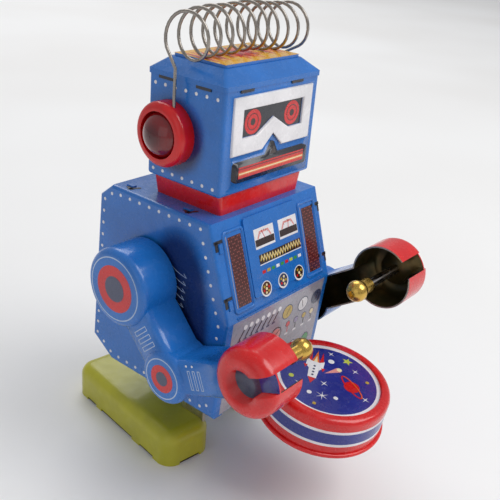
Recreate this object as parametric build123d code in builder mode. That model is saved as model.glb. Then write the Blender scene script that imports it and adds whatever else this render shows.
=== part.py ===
"""Tin wind-up robot that walks and drums.

Frame: millimetres, +Z up, the robot faces -Y and its right side is at -X.
The origin is on the floor, at the centre of the robot's bounding box.

Parts, in the order in which they are made:
  torso   two side pans, front and back sheets, base plate, neck collar
  head    shell, face plate, stepped cap, ears with lenses, coil antenna
  drum    top pan, bottom pan, bracket
  motor   plates, pillars, mainspring, key, four arbors with their wheels
  feet    legs on crank pins, tin shoes, soles
  arms    stamped shells with claw hands, axles, levers, drumsticks
"""
import os
from math import acos, atan2, cos, degrees, hypot, pi, radians, sin, sqrt, tan

from build123d import *

os.makedirs("parts", exist_ok=True)

# ---------------------------------------------------------------- sheet and fits
TIN = 0.4                # lithographed tinplate
RUN = 0.05               # radial clearance of a shaft in its bearing
PLAY = 0.4               # gap round a piece that moves past another
SEAM = 0.9               # outer radius where a tin panel is folded

# ---------------------------------------------------------------- torso, side view
TORSO_HALF = 21.5        # half width over the side pans
TORSO_BOTTOM = 21.3      # height of the base above the floor
TORSO_TOP = 74.0
BELT_Z = 50.0            # where the sloping chest meets the belly
TOP_FRONT = -16.8        # front edge of the flat top
TOP_BACK = 17.3
BELT_FRONT = -24.6
BASE_FRONT = -22.1
BASE_BACK = 17.3
BACK_LOW = 25.0          # rearmost point, above the lower chamfer
BACK_HIGH = 21.8
LOW_CHAMFER = 5.2        # height of the chamfer at the bottom of the back
HIGH_CHAMFER = 3.7
PAN_RIM = 3.5            # width of the rim that a side pan folds inwards

CHEST_HALF = 10.6        # embossed instrument panel on the chest
CHEST_RISE = 0.6
CHEST_TOP_GAP = 1.2
CHEST_LENGTH = 20.5

# ---------------------------------------------------------------- neck and head
NECK_HEIGHT = 5.2
HEAD_HALF = 17.8
HEAD_FRONT = -16.0
HEAD_BACK = 8.3
HEAD_BOTTOM = TORSO_TOP + NECK_HEIGHT
HEAD_HEIGHT = 25.2
HEAD_TOP = HEAD_BOTTOM + HEAD_HEIGHT
NECK_IN_SIDE = 2.4       # the neck stands in from the head's sides, front and back
NECK_IN_FRONT = 1.4
NECK_IN_BACK = 1.1
NECK_HALF = HEAD_HALF - NECK_IN_SIDE
NECK_FRONT = HEAD_FRONT + NECK_IN_FRONT
NECK_BACK = HEAD_BACK - NECK_IN_BACK
NECK_FLARE = 0.8         # the collar's sides lean out this much
NECK_FLARE_Y = 0.3
FACE_IN = 1.6            # face plate, between the folded edges of the shell
FACE_HALF = HEAD_HALF - FACE_IN
FACE_MARGIN = 1.0
FACE_RISE = 0.7          # embossed goggle frame
FACE_ROUND = 0.45        # its rounded edges
GOGGLE_IN = 1.3          # from the plate's edge to the frame
GOGGLE_DOWN = 1.6        # from the head's top to the frame
GOGGLE_W = 3.4           # width of the frame at its sides
GOGGLE_W_TOP = 3.1
GOGGLE_HALF = FACE_HALF - GOGGLE_IN
GOGGLE_TOP = HEAD_HEIGHT - GOGGLE_DOWN  # heights above the head's bottom, from here to BRIDGE_TOP
GOGGLE_LOW = 9.8
NOTCH_APEX = 13.2        # notch of the frame over the nose
NOTCH_HALF = 3.8
LENS_HALF = GOGGLE_HALF - GOGGLE_W      # the flat field inside the frame
FIELD_TOP = GOGGLE_TOP - GOGGLE_W_TOP
FIELD_LOW = 13.8
FIELD_APEX = 17.4
FIELD_CORNER = 6.2
MOUTH_IN = 2.2           # from the plate's edge to the mouth block
MOUTH_HALF = FACE_HALF - MOUTH_IN
MOUTH_LOW = 3.3
MOUTH_TOP = 8.1
MOUTH_RISE = 1.1
BRIDGE_TOP = 11.4
BRIDGE_HALF = 2.2
CAP_LIP = 1.2            # straight edge of the cap
CAP_SLOPE = 3.0
CAP_FRAME = 3.6          # width of the sloping border
CAP_STEP = 0.7           # raised plateau
CAP_STEP_IN = 0.5        # its edge, inside the sloping border
CAP_OVER = 0.25          # the cap's lip stands this much outside the head

EAR_Y = 0.6
EAR_UP = 12.2            # centre of the ears above the head's bottom
EAR_Z = HEAD_BOTTOM + EAR_UP
EAR_R = 7.9
EAR_DEPTH = 4.4
EAR_EDGE = 1.7
LENS_R = 5.7
LENS_SEAT = 1.6          # depth of the seat below the ear's face
LENS_RISE = 4.0          # height of the dome above its seat

WIRE_R = 0.4             # antenna spring wire
WIRE_DEPTH = 2.5         # the wire's ends go this far into the ears
WIRE_Y = -2.4            # both straight ends of the wire rise here
WIRE_KINK = 3.5          # they bend towards the coil this far above the head's sides
COIL_Y = -4.2            # the coil stands over the middle of the head
COIL_R = 5.6             # to the centre of the wire
COIL_LOOPS = 9           # whole turns, besides the part between both tangents
COIL_SPANS = 13          # lengths that the coil is swept in
COIL_GAP = 0.3           # between the coil and the cap

# ---------------------------------------------------------------- drum
DRUM_GAP = 1.04          # from the belly's foot to the drum's flange
DRUM_RISE = 12.9         # the drum head's centre above the torso's bottom
DRUM_TILT = 9.0
DRUM_R = 16.4
DRUM_HEIGHT = 10.2
DRUM_EDGE = 1.5          # outer rounding of the rim
DRUM_RIM = 3.0           # width of the domed rim
DRUM_SINK = 0.7          # the head lies this far below the rim
DRUM_FLANGE = 0.7        # bead of the bottom pan
DRUM_FLANGE_H = 1.1
DRUM_STEP = 0.5          # how far the step from the head to the rim leans out
BRACKET_W = 12.0
BRACKET_T = 0.8
RIVET_R = 1.1
RIVET_HEAD = 0.5

# ---------------------------------------------------------------- arms
SHOULDER_Y = 2.3
SHOULDER_DOWN = 20.1     # the shoulder's centre below the torso's top
SHOULDER_Z = TORSO_TOP - SHOULDER_DOWN
ELBOW = (-17.0, -18.1)   # from the shoulder, in y and z, with the arm down
HAND = (-41.6, -7.7)     # from the shoulder
SHOULDER_R = 10.3
ELBOW_R = 7.2
HAND_R = 8.7
ARM_GAP = 0.7            # from the torso to the open side of the arm
ARM_DEPTH = 11.3
BAR_DROP = 1.3           # the bars lie this far below the discs
UPPER_W = 11.0
FORE_W = 9.4
DISC_EDGE = 1.9
HAND_EDGE = 3.2
MOUTH_W = 4.6            # slot of the claw
SLOT_DEPTH = 3.0
PALM_R = 4.0             # round recess in the middle of the claw
ARM_SHAFT_R = 1.5
LEVER_T = 0.8
LEVER_W = 3.0
LEVER_REACH = 15.0
LEVER_BOSS = 1.0         # wall round the shaft
STICK_R = 1.3
BALL_R = 2.8
BALL_X = 10.8            # distance of the ball from the middle plane
COLLAR_R = 1.95
COLLAR_L = 2.4
DIMPLE_R = 0.9           # drilled in the ball's end
DIMPLE_DEPTH = 0.8
LEFT_RAISE = 11.5        # how much higher the left arm stands

# ---------------------------------------------------------------- motor
PLATE_X = 8.5            # inner face of each motor plate
PLATE_T = 0.8
PLATE_FRONT = -18.0
PLATE_BACK = 21.0
PLATE_HEEL = 2.0
PLATE_DOWN = 5.4         # the plates end this far below the arm shafts
PLATE_TOP = SHOULDER_Z - PLATE_DOWN
TONGUE_W = 9.0           # tongue that carries the inner end of the arm shaft
TONGUE_TOP = 5.0         # above the arm shaft
GEAR_M = 0.6
GREAT_TEETH = 36
SECOND_LEAVES = 9
SECOND_TEETH = 27
CRANK_LEAVES = 9
CRANK_TEETH = 24
GOVERNOR_LEAVES = 8
WHEEL_T = 0.9
PINION_T = 1.7
ADDENDUM = 0.8           # of the module
DEDENDUM = 1.15
BACKLASH = 0.22          # of the module, taken off each tooth
FLANK_STEPS = 3          # straight lengths of a tooth's flank
CRANK_Y = -4.0
CRANK_FREE = 1.82        # from the base to the teeth of the crank wheel
KEY_FREE = 1.62          # from the base to the teeth of the great wheel
KEY_BEHIND = 15.4        # from the crank shaft to the key's arbor
CRANK_Z = TORSO_BOTTOM + TIN + (CRANK_TEETH / 2 + ADDENDUM) * GEAR_M + CRANK_FREE
KEY_Y = CRANK_Y + KEY_BEHIND
KEY_Z = TORSO_BOTTOM + TIN + (GREAT_TEETH / 2 + ADDENDUM) * GEAR_M + KEY_FREE
GOVERNOR_ANGLE = 158.0
FLYWHEEL_FREE = 1.3      # from the right plate to the flywheel
FLYWHEEL_X = -PLATE_X + FLYWHEEL_FREE   # near faces, from the right plate to the left one
CRANK_WHEEL_X = -4.6
CRANK_PINION_X = -2.4
SECOND_WHEEL_X = -2.0
SECOND_PINION_X = 0.6
GREAT_WHEEL_X = 1.0
SPRING_X = 2.7
ARBOR_R = 1.6
SHAFT_R = 0.8
CRANK_SHAFT_R = 1.0
FLYWHEEL_R = 4.4
FLYWHEEL_T = 1.5
FLYWHEEL_HOLE_R = 0.9
PILLAR_R = 1.1
PILLAR_EDGE = 2.5        # from the edge of the plates
PILLAR_LOW = 2.3
PILLAR_BACK = 6.0        # the low pillar stands this far behind the crank shaft
SPRING_T = 0.25
SPRING_W = 4.6
SPRING_R0 = 2.3
SPRING_R1 = 8.6
SPRING_TURNS = 6
SPRING_POINTS = 24       # points of a turn of the spiral
KEY_REACH = 11.8         # from the torso's side to the outer edge of the key
KEY_GAP = 1.0            # between the torso and the key
KEY_SHANK = 2.6
KEY_WING_R = 4.3
KEY_WEB = 6.0
KEY_T = 1.4
KEY_BOSS = 1.0           # wall of the key's shank

# ---------------------------------------------------------------- legs and shoes
THROW = 1.5              # crank radius
DISC_R = 4.0
DISC_T = 1.0
PIN_R = 0.9
PIN_HEAD_R = 1.5
PIN_HEAD_T = 0.4
LEG_T = 1.0
LEG_W = 8.0
LEG_HUB_R = 3.0
LEG_SOLE = 5.0           # length of the leg's bent foot
SHOE_X = 14.4
SHOE_Y = 13.2            # centre of both shoes, before the cranks part them
SHOE_L = 47.0
SHOE_W = 16.0
SHOE_H = 10.4
SHOE_CORNER = 4.5
SHOE_EDGE = 3.6
TOE_OUT = 8.0
NOTCH_H = 0.9            # gaps along the bottom edge of a shoe
NOTCHES = ((-0.36, -0.26), (-0.20, 0.14), (0.22, 0.36))   # start and end, of the length
LEG_BACK = -1.0          # the leg's strip stands this far from its pin's line

# ---------------------------------------------------------------- origin
tilt = radians(DRUM_TILT)
DRUM_Z = TORSO_BOTTOM + DRUM_RISE
DRUM_Y = (BASE_FRONT - DRUM_GAP - (DRUM_R + DRUM_FLANGE) * cos(tilt)
          - (DRUM_HEIGHT + DRUM_FLANGE_H) * sin(tilt))
toe = radians(TOE_OUT)
drum_front = DRUM_Y - (DRUM_R - DRUM_EDGE) * cos(tilt) + DRUM_EDGE * sin(tilt) - DRUM_EDGE
heel_back = (SHOE_Y + THROW + (SHOE_W / 2 - SHOE_CORNER) * sin(toe)
             + (SHOE_L / 2 - SHOE_CORNER) * cos(toe) + SHOE_CORNER)
Y0 = -(drum_front + heel_back) / 2      # moves the shoulder frame onto the box centre

RIGHT, LEFT = -1, 1


def at(x, y, z):
    """A point given in the shoulder frame, in the robot's own frame."""
    return (x, y + Y0, z)


def side_plane(x):
    """A plane across X whose own axes are the robot's Y and Z."""
    return Plane(origin=(x, Y0, 0), x_dir=(0, 1, 0), z_dir=(1, 0, 0))


def low_x(side, x, thickness):
    """Lower X of a piece whose inner face is x from the middle plane, on either side."""
    return x if side == LEFT else -x - thickness


def save(builder, name):
    """Label a finished piece and write it."""
    builder.part.label = name
    export_step(builder.part, f"parts/{name}.step")


def other_side(part):
    """The same piece on the other side of the robot."""
    return part.mirror(Plane.YZ)


# ================================================================ torso
TORSO_OUTLINE = [
    (TOP_FRONT, TORSO_TOP),
    (BELT_FRONT, BELT_Z),
    (BASE_FRONT, TORSO_BOTTOM),
    (BASE_BACK, TORSO_BOTTOM),
    (BACK_LOW, TORSO_BOTTOM + LOW_CHAMFER),
    (BACK_HIGH, TORSO_TOP - HIGH_CHAMFER),
    (TOP_BACK, TORSO_TOP),
]


def torso_block(half, inset=0.0):
    """The torso as a prism, with its outline moved inwards by inset."""
    with BuildPart() as block:
        with BuildSketch(side_plane(-half)):
            with BuildLine():
                Polyline(*TORSO_OUTLINE, close=True)
            make_face()
            if inset:
                offset(amount=-inset, kind=Kind.INTERSECTION, mode=Mode.REPLACE)
        extrude(amount=2 * half)
    return block.part


def torso_pan():
    """Left side pan: a flat panel with a rim folded inwards all round."""
    with BuildPart() as pan:
        with BuildSketch(side_plane(TORSO_HALF - PAN_RIM)):
            with BuildLine():
                Polyline(*TORSO_OUTLINE, close=True)
            make_face()
        extrude(amount=PAN_RIM)
        fillet(pan.faces().sort_by(Axis.X)[-1].edges(), SEAM)
        with BuildSketch(side_plane(TORSO_HALF - PAN_RIM)):
            with BuildLine():
                Polyline(*TORSO_OUTLINE, close=True)
            make_face()
            offset(amount=-TIN, kind=Kind.INTERSECTION, mode=Mode.REPLACE)
        extrude(amount=PAN_RIM - TIN, mode=Mode.SUBTRACT)
        with BuildSketch(side_plane(TORSO_HALF - PAN_RIM)):
            with Locations((SHOULDER_Y, SHOULDER_Z)):
                Circle(ARM_SHAFT_R + RUN)
        extrude(amount=PAN_RIM, mode=Mode.SUBTRACT)
    return pan.part


with BuildPart() as torso_side_right:
    add(other_side(torso_pan()))
save(torso_side_right, "torso_side_right")

with BuildPart() as torso_side_left:
    add(torso_pan())
    with BuildSketch(side_plane(TORSO_HALF - PAN_RIM)):
        with Locations((KEY_Y, KEY_Z)):
            Circle(ARBOR_R + PLAY)
    extrude(amount=PAN_RIM, mode=Mode.SUBTRACT)
save(torso_side_left, "torso_side_left")

SHEET_HALF = TORSO_HALF - PAN_RIM
slope_length = hypot(BELT_FRONT - TOP_FRONT, TORSO_TOP - BELT_Z)
slope_down = ((BELT_FRONT - TOP_FRONT) / slope_length, (BELT_Z - TORSO_TOP) / slope_length)
chest_plane = Plane(origin=at(0, TOP_FRONT, TORSO_TOP), x_dir=(1, 0, 0),
                    z_dir=(0, slope_down[1], -slope_down[0]))
chest_middle = -(CHEST_TOP_GAP + CHEST_LENGTH / 2)

with BuildPart() as torso_front:
    add(torso_block(SHEET_HALF))
    add(torso_block(SHEET_HALF, TIN), mode=Mode.SUBTRACT)
    # keep the top, the chest and the belly: cut away the base and the back
    with BuildSketch(side_plane(-SHEET_HALF)):
        with BuildLine():
            Polyline((BASE_FRONT - TIN, TORSO_BOTTOM - TIN), (BASE_FRONT - TIN, TORSO_BOTTOM + TIN),
                     (0, TORSO_BOTTOM + TIN), (TOP_BACK - TIN, TORSO_TOP - HIGH_CHAMFER),
                     (TOP_BACK - TIN, TORSO_TOP + TIN), (BACK_LOW + TIN, TORSO_TOP + TIN),
                     (BACK_LOW + TIN, TORSO_BOTTOM - TIN), close=True)
        make_face()
    extrude(amount=2 * SHEET_HALF, mode=Mode.SUBTRACT)
    with BuildSketch(chest_plane):
        with Locations((0, chest_middle)):
            RectangleRounded(2 * CHEST_HALF, CHEST_LENGTH, SEAM)
    extrude(amount=CHEST_RISE)
    with BuildSketch(chest_plane.offset(-TIN)):
        with Locations((0, chest_middle)):
            RectangleRounded(2 * (CHEST_HALF - TIN), CHEST_LENGTH - 2 * TIN, SEAM - TIN)
    extrude(amount=CHEST_RISE, mode=Mode.SUBTRACT)
save(torso_front, "torso_front")

with BuildPart() as torso_back:
    add(torso_block(SHEET_HALF))
    add(torso_block(SHEET_HALF, TIN), mode=Mode.SUBTRACT)
    with BuildSketch(side_plane(-SHEET_HALF)):
        with BuildLine():
            Polyline((BELT_FRONT - TIN, TORSO_BOTTOM - TIN), (BASE_BACK, TORSO_BOTTOM - TIN),
                     (BASE_BACK, TORSO_BOTTOM + LOW_CHAMFER), (TOP_BACK - TIN, TORSO_TOP - HIGH_CHAMFER),
                     (TOP_BACK - TIN, TORSO_TOP + TIN), (BELT_FRONT - TIN, TORSO_TOP + TIN), close=True)
        make_face()
    extrude(amount=2 * SHEET_HALF, mode=Mode.SUBTRACT)
save(torso_back, "torso_back")

leg_x = PLATE_X + PLATE_T + PLAY + DISC_T + PLAY      # inner face of a leg plate
leg_y = CRANK_Y + LEG_BACK                            # middle of the leg below its hub

with BuildPart() as torso_base:
    with BuildSketch(Plane.XY.offset(TORSO_BOTTOM)):
        with Locations((0, Y0 + (BASE_FRONT + TIN + BASE_BACK) / 2)):
            Rectangle(2 * SHEET_HALF, BASE_BACK - BASE_FRONT - TIN)
    extrude(amount=TIN)
    for side in (RIGHT, LEFT):
        with BuildSketch(Plane.XY.offset(TORSO_BOTTOM)):
            with Locations((side * (leg_x + LEG_T / 2), Y0 + leg_y)):
                Rectangle(LEG_T + 2 * PLAY, LEG_W + 2 * (2 * THROW + PLAY))
        extrude(amount=TIN, mode=Mode.SUBTRACT)
save(torso_base, "torso_base")

with BuildPart() as neck_collar:
    with BuildSketch(Plane.XY.offset(TORSO_TOP)):
        with Locations((0, Y0 + (NECK_FRONT + NECK_BACK) / 2)):
            RectangleRounded(2 * NECK_HALF, NECK_BACK - NECK_FRONT, SEAM)
    with BuildSketch(Plane.XY.offset(HEAD_BOTTOM)):
        with Locations((0, Y0 + (NECK_FRONT + NECK_BACK) / 2)):
            RectangleRounded(2 * (NECK_HALF + NECK_FLARE), NECK_BACK - NECK_FRONT + 2 * NECK_FLARE_Y, SEAM)
    loft()
    with BuildSketch(Plane.XY.offset(TORSO_TOP)):
        with Locations((0, Y0 + (NECK_FRONT + NECK_BACK) / 2)):
            RectangleRounded(2 * (NECK_HALF - TIN), NECK_BACK - NECK_FRONT - 2 * TIN, SEAM - TIN)
    extrude(amount=HEAD_BOTTOM - TORSO_TOP, mode=Mode.SUBTRACT)
save(neck_collar, "neck_collar")

# ================================================================ head
head_depth = HEAD_BACK - HEAD_FRONT
head_y = Y0 + (HEAD_BACK + HEAD_FRONT) / 2
face_plane = Plane(origin=at(0, HEAD_FRONT, 0), x_dir=(1, 0, 0), z_dir=(0, -1, 0))
face_bottom = HEAD_BOTTOM + FACE_MARGIN
face_top = HEAD_TOP - FACE_MARGIN

with BuildPart() as head_shell:
    with BuildSketch(Plane.XY.offset(HEAD_BOTTOM)):
        with Locations((0, head_y)):
            RectangleRounded(2 * HEAD_HALF, head_depth, SEAM)
    extrude(amount=HEAD_HEIGHT)
    fillet(head_shell.faces().sort_by(Axis.Z)[0].edges(), SEAM)
    with BuildSketch(Plane.XY.offset(HEAD_BOTTOM + TIN)):
        with Locations((0, head_y)):
            RectangleRounded(2 * (HEAD_HALF - TIN), head_depth - 2 * TIN, SEAM - TIN)
    extrude(amount=HEAD_HEIGHT, mode=Mode.SUBTRACT)
    # window for the face plate
    with BuildSketch(face_plane):
        with Locations((0, (face_bottom + face_top) / 2)):
            Rectangle(2 * FACE_HALF, face_top - face_bottom)
    extrude(amount=-2 * TIN, mode=Mode.SUBTRACT)
save(head_shell, "head_shell")



def face_points(*points):
    """Points of the face, given as x and height above the head's bottom, and their mirror images."""
    right = [(x, HEAD_BOTTOM + z) for x, z in points]
    return right + [(-x, z) for x, z in reversed(right) if x]


with BuildPart() as head_front:
    with BuildSketch(face_plane):
        with Locations((0, (face_bottom + face_top) / 2)):
            Rectangle(2 * FACE_HALF, face_top - face_bottom)
    extrude(amount=-TIN)
    with BuildSketch(face_plane):
        with BuildLine():
            Polyline(*face_points((GOGGLE_HALF, GOGGLE_TOP), (GOGGLE_HALF, GOGGLE_LOW),
                                  (NOTCH_HALF, GOGGLE_LOW), (0, NOTCH_APEX)), close=True)
        make_face()
        with BuildLine():
            Polyline(*face_points((LENS_HALF, FIELD_TOP), (LENS_HALF, FIELD_LOW),
                                  (FIELD_CORNER, FIELD_LOW), (0, FIELD_APEX)), close=True)
        make_face(mode=Mode.SUBTRACT)
    extrude(amount=FACE_RISE)
    fillet(head_front.faces().sort_by(Axis.Y)[0].edges(), FACE_ROUND)
    with BuildSketch(face_plane):
        with Locations((0, HEAD_BOTTOM + (MOUTH_LOW + MOUTH_TOP) / 2)):
            RectangleRounded(2 * MOUTH_HALF, MOUTH_TOP - MOUTH_LOW, SEAM)
        with BuildLine():
            Polyline(*face_points((BRIDGE_HALF, MOUTH_TOP - TIN), (0, BRIDGE_TOP)), close=True)
        make_face()
    extrude(amount=MOUTH_RISE)
save(head_front, "head_front")

cap_half = HEAD_HALF + CAP_OVER
cap_depth = head_depth + 2 * CAP_OVER


def cap_block(inset):
    """The stepped cap, with every wall moved inwards by inset."""
    low = HEAD_TOP
    with BuildPart() as block:
        with BuildSketch(Plane.XY.offset(low)):
            with Locations((0, head_y)):
                RectangleRounded(2 * (cap_half - inset), cap_depth - 2 * inset, SEAM)
        extrude(amount=CAP_LIP - inset)
        with BuildSketch(Plane.XY.offset(low + CAP_LIP - inset)):
            with Locations((0, head_y)):
                RectangleRounded(2 * (cap_half - inset), cap_depth - 2 * inset, SEAM)
        with BuildSketch(Plane.XY.offset(low + CAP_LIP + CAP_SLOPE - inset)):
            with Locations((0, head_y)):
                RectangleRounded(2 * (cap_half - inset - CAP_FRAME),
                                 cap_depth - 2 * (inset + CAP_FRAME), SEAM)
        loft()
        with BuildSketch(Plane.XY.offset(low + CAP_LIP + CAP_SLOPE - inset)):
            with Locations((0, head_y)):
                RectangleRounded(2 * (cap_half - inset - CAP_FRAME - CAP_STEP_IN),
                                 cap_depth - 2 * (inset + CAP_FRAME + CAP_STEP_IN), SEAM)
        extrude(amount=CAP_STEP)
    return block.part


with BuildPart() as head_cap:
    add(cap_block(0))
    add(cap_block(TIN), mode=Mode.SUBTRACT)
save(head_cap, "head_cap")


def ear_plane():
    """Across the left ear's axis, on the head's side, facing outwards."""
    return Plane(origin=at(HEAD_HALF, EAR_Y, EAR_Z), x_dir=(0, 1, 0), z_dir=(1, 0, 0))


def ear_ring():
    """Moulded ear with a rounded edge and a seat for the lens."""
    with BuildPart() as ear:
        with BuildSketch(ear_plane()):
            Circle(EAR_R)
        extrude(amount=EAR_DEPTH)
        fillet(ear.faces().sort_by(Axis.X)[-1].edges(), EAR_EDGE)
        with BuildSketch(ear_plane().offset(EAR_DEPTH)):
            Circle(LENS_R)
        extrude(amount=-LENS_SEAT, mode=Mode.SUBTRACT)
    return ear.part


def ear_lens():
    """Domed lens, flat at the back, in the ear's seat."""
    seat_x = HEAD_HALF + EAR_DEPTH - LENS_SEAT
    dome = (LENS_R ** 2 + LENS_RISE ** 2) / (2 * LENS_RISE)
    with BuildPart() as lens:
        with BuildSketch(Plane(origin=at(seat_x, EAR_Y, EAR_Z), x_dir=(1, 0, 0), z_dir=(0, -1, 0))):
            with BuildLine():
                RadiusArc((0, LENS_R), (LENS_RISE, 0), dome)
                Polyline((LENS_RISE, 0), (0, 0), (0, LENS_R))
            make_face()
        revolve(axis=Axis(at(seat_x, EAR_Y, EAR_Z), (1, 0, 0)))
    return lens.part


wire_x = HEAD_HALF + EAR_DEPTH / 2
cap_top = HEAD_TOP + CAP_LIP + CAP_SLOPE + CAP_STEP
coil_z = cap_top + COIL_GAP + WIRE_R + COIL_R
kink_z = HEAD_TOP + WIRE_KINK
wire_seat = EAR_Z + sqrt(EAR_R ** 2 - (WIRE_Y - EAR_Y) ** 2) - WIRE_DEPTH

for name, side in (("right", RIGHT), ("left", LEFT)):
    with BuildPart() as ear_piece:
        add(ear_ring() if side == LEFT else other_side(ear_ring()))
        with BuildSketch(Plane(origin=at(side * wire_x, WIRE_Y, wire_seat))):
            Circle(WIRE_R + RUN)
        extrude(amount=EAR_R, mode=Mode.SUBTRACT)
    save(ear_piece, f"ear_{name}")
    with BuildPart() as lens_piece:
        add(ear_lens() if side == LEFT else other_side(ear_lens()))
    save(lens_piece, f"ear_lens_{name}")

# Both ends of the wire rise from the ears, bend, and run on as tangents: to the
# coil's back on the right side and to its front on the left side.
kink_line = atan2(kink_z - coil_z, WIRE_Y - COIL_Y)
tangent = acos(COIL_R / hypot(WIRE_Y - COIL_Y, coil_z - kink_z))
coil_start = kink_line + tangent
coil_end = kink_line - tangent
coil_turns = COIL_LOOPS + 1 - tangent / pi
span_turn = 360 * coil_turns / COIL_SPANS
span_x = 2 * wire_x / COIL_SPANS

with BuildPart() as antenna_coil:
    spans = []
    for i in range(COIL_SPANS):
        span = Helix(pitch=2 * wire_x / coil_turns, height=span_x, radius=COIL_R,
                     center=at(-wire_x + i * span_x, COIL_Y, coil_z), direction=(1, 0, 0), mode=Mode.PRIVATE)
        # a helix starts at the top
        turn = degrees(coil_start) - 90 + i * span_turn
        spans.append(span.rotate(Axis(at(0, COIL_Y, coil_z), (1, 0, 0)), turn).edge())
    with BuildSketch(Plane(origin=spans[0] @ 0, z_dir=spans[0] % 0)):
        Circle(WIRE_R)
    sweep(path=Wire(spans))
    for side, angle in ((RIGHT, coil_start), (LEFT, coil_end)):
        seat = at(side * wire_x, WIRE_Y, wire_seat)
        kink = at(side * wire_x, WIRE_Y, kink_z)
        touch = at(side * wire_x, COIL_Y + COIL_R * cos(angle), coil_z + COIL_R * sin(angle))
        for start, end in ((seat, kink), (kink, touch)):
            straight = Line(start, end, mode=Mode.PRIVATE)
            with BuildSketch(Plane(origin=start, z_dir=straight % 0)):
                Circle(WIRE_R)
            sweep(path=straight)
        with Locations(kink, touch):
            Sphere(WIRE_R + RUN)
save(antenna_coil, "antenna_coil")

# ================================================================ drum
drum_top = Plane(origin=at(0, DRUM_Y, DRUM_Z), x_dir=(1, 0, 0), z_dir=(0, -sin(tilt), cos(tilt)))
drum_side = Plane(origin=drum_top.origin, x_dir=(1, 0, 0), z_dir=drum_top.y_dir * -1)
drum_axis = Axis(drum_top.origin, drum_top.z_dir)


def drum_profile(inset):
    """Half section of the top pan: sunk head, domed rim, straight band."""
    head_r = DRUM_R - DRUM_RIM
    with BuildSketch(drum_side) as section:
        with BuildLine():
            Polyline((0, -DRUM_HEIGHT), (0, -DRUM_SINK - inset), (head_r + inset, -DRUM_SINK - inset),
                     (head_r + DRUM_STEP, -inset), (DRUM_R - DRUM_EDGE, -inset))
            RadiusArc((DRUM_R - DRUM_EDGE, -inset), (DRUM_R - inset, -DRUM_EDGE), DRUM_EDGE - inset)
            Polyline((DRUM_R - inset, -DRUM_EDGE), (DRUM_R - inset, -DRUM_HEIGHT), (0, -DRUM_HEIGHT))
        make_face()
    return section.sketch


with BuildPart() as drum_shell:
    add(drum_profile(0))
    revolve(axis=drum_axis)
    add(drum_profile(TIN))
    revolve(axis=drum_axis, mode=Mode.SUBTRACT)
save(drum_shell, "drum_shell")

with BuildPart() as drum_base:
    with BuildSketch(drum_top.offset(-DRUM_HEIGHT - DRUM_FLANGE_H)):
        Circle(DRUM_R + DRUM_FLANGE)
    extrude(amount=DRUM_FLANGE_H)
    fillet(drum_base.edges().filter_by(GeomType.CIRCLE), DRUM_FLANGE_H / 2 - RUN)
    with BuildSketch(drum_top.offset(-DRUM_HEIGHT - DRUM_FLANGE_H)):
        Circle(DRUM_R - DRUM_FLANGE)
    extrude(amount=DRUM_FLANGE_H - TIN, mode=Mode.SUBTRACT)
    with BuildSketch(drum_top.offset(-DRUM_HEIGHT - TIN)):
        Circle(RIVET_R)
    extrude(amount=TIN, mode=Mode.SUBTRACT)
save(drum_base, "drum_base")

# The bracket is a bent strip: one end lies on the belly, the other under the drum.
belly_lean = (BELT_FRONT - BASE_FRONT) / (BELT_Z - TORSO_BOTTOM)


def belly_y(z):
    """Front face of the belly at height z, in the shoulder frame."""
    return BASE_FRONT + belly_lean * (z - TORSO_BOTTOM)


def tongue_point(lean_out, below):
    """Where a line parallel to the drum's bottom meets one parallel to the belly."""
    y = DRUM_Y + below * sin(tilt)
    z = DRUM_Z - below * cos(tilt)
    along = (belly_y(z) - lean_out - y) / (cos(tilt) - belly_lean * sin(tilt))
    return (y + along * cos(tilt), z + along * sin(tilt))


def under_drum(along, below):
    """A point below the drum's centre: along its slope, then square to it."""
    return (DRUM_Y + along * cos(tilt) + below * sin(tilt),
            DRUM_Z + along * sin(tilt) - below * cos(tilt))


strip_top = DRUM_HEIGHT + DRUM_FLANGE_H
strip_low = strip_top + BRACKET_T
strip_end = -BRACKET_W / 2
foot_z = TORSO_BOTTOM + TIN

with BuildPart() as drum_bracket:
    with BuildSketch(side_plane(-BRACKET_W / 2)):
        with BuildLine():
            Polyline((belly_y(foot_z), foot_z), tongue_point(0, strip_top), under_drum(strip_end, strip_top),
                     under_drum(strip_end, strip_low), tongue_point(BRACKET_T, strip_low),
                     (belly_y(foot_z) - BRACKET_T, foot_z), close=True)
        make_face()
    extrude(amount=BRACKET_W)
    with BuildSketch(drum_top.offset(-strip_low)):
        Circle(RIVET_R)
    extrude(amount=BRACKET_T, mode=Mode.SUBTRACT)
save(drum_bracket, "drum_bracket")

# One rivet through the bracket and the drum's bottom pan.
with BuildPart() as drum_rivet:
    with BuildSketch(drum_top.offset(-strip_low)):
        Circle(RIVET_R)
    extrude(amount=strip_low - DRUM_HEIGHT)
    with BuildSketch(drum_top.offset(-strip_low - RIVET_HEAD)):
        Circle(2 * RIVET_R)
    extrude(amount=RIVET_HEAD)
    with BuildSketch(drum_top.offset(-DRUM_HEIGHT)):
        Circle(2 * RIVET_R)
    extrude(amount=RIVET_HEAD)
save(drum_rivet, "drum_rivet")

# ================================================================ motor
PRESSURE = radians(20)


def involute(angle):
    """The involute function."""
    return tan(angle) - angle


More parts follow.
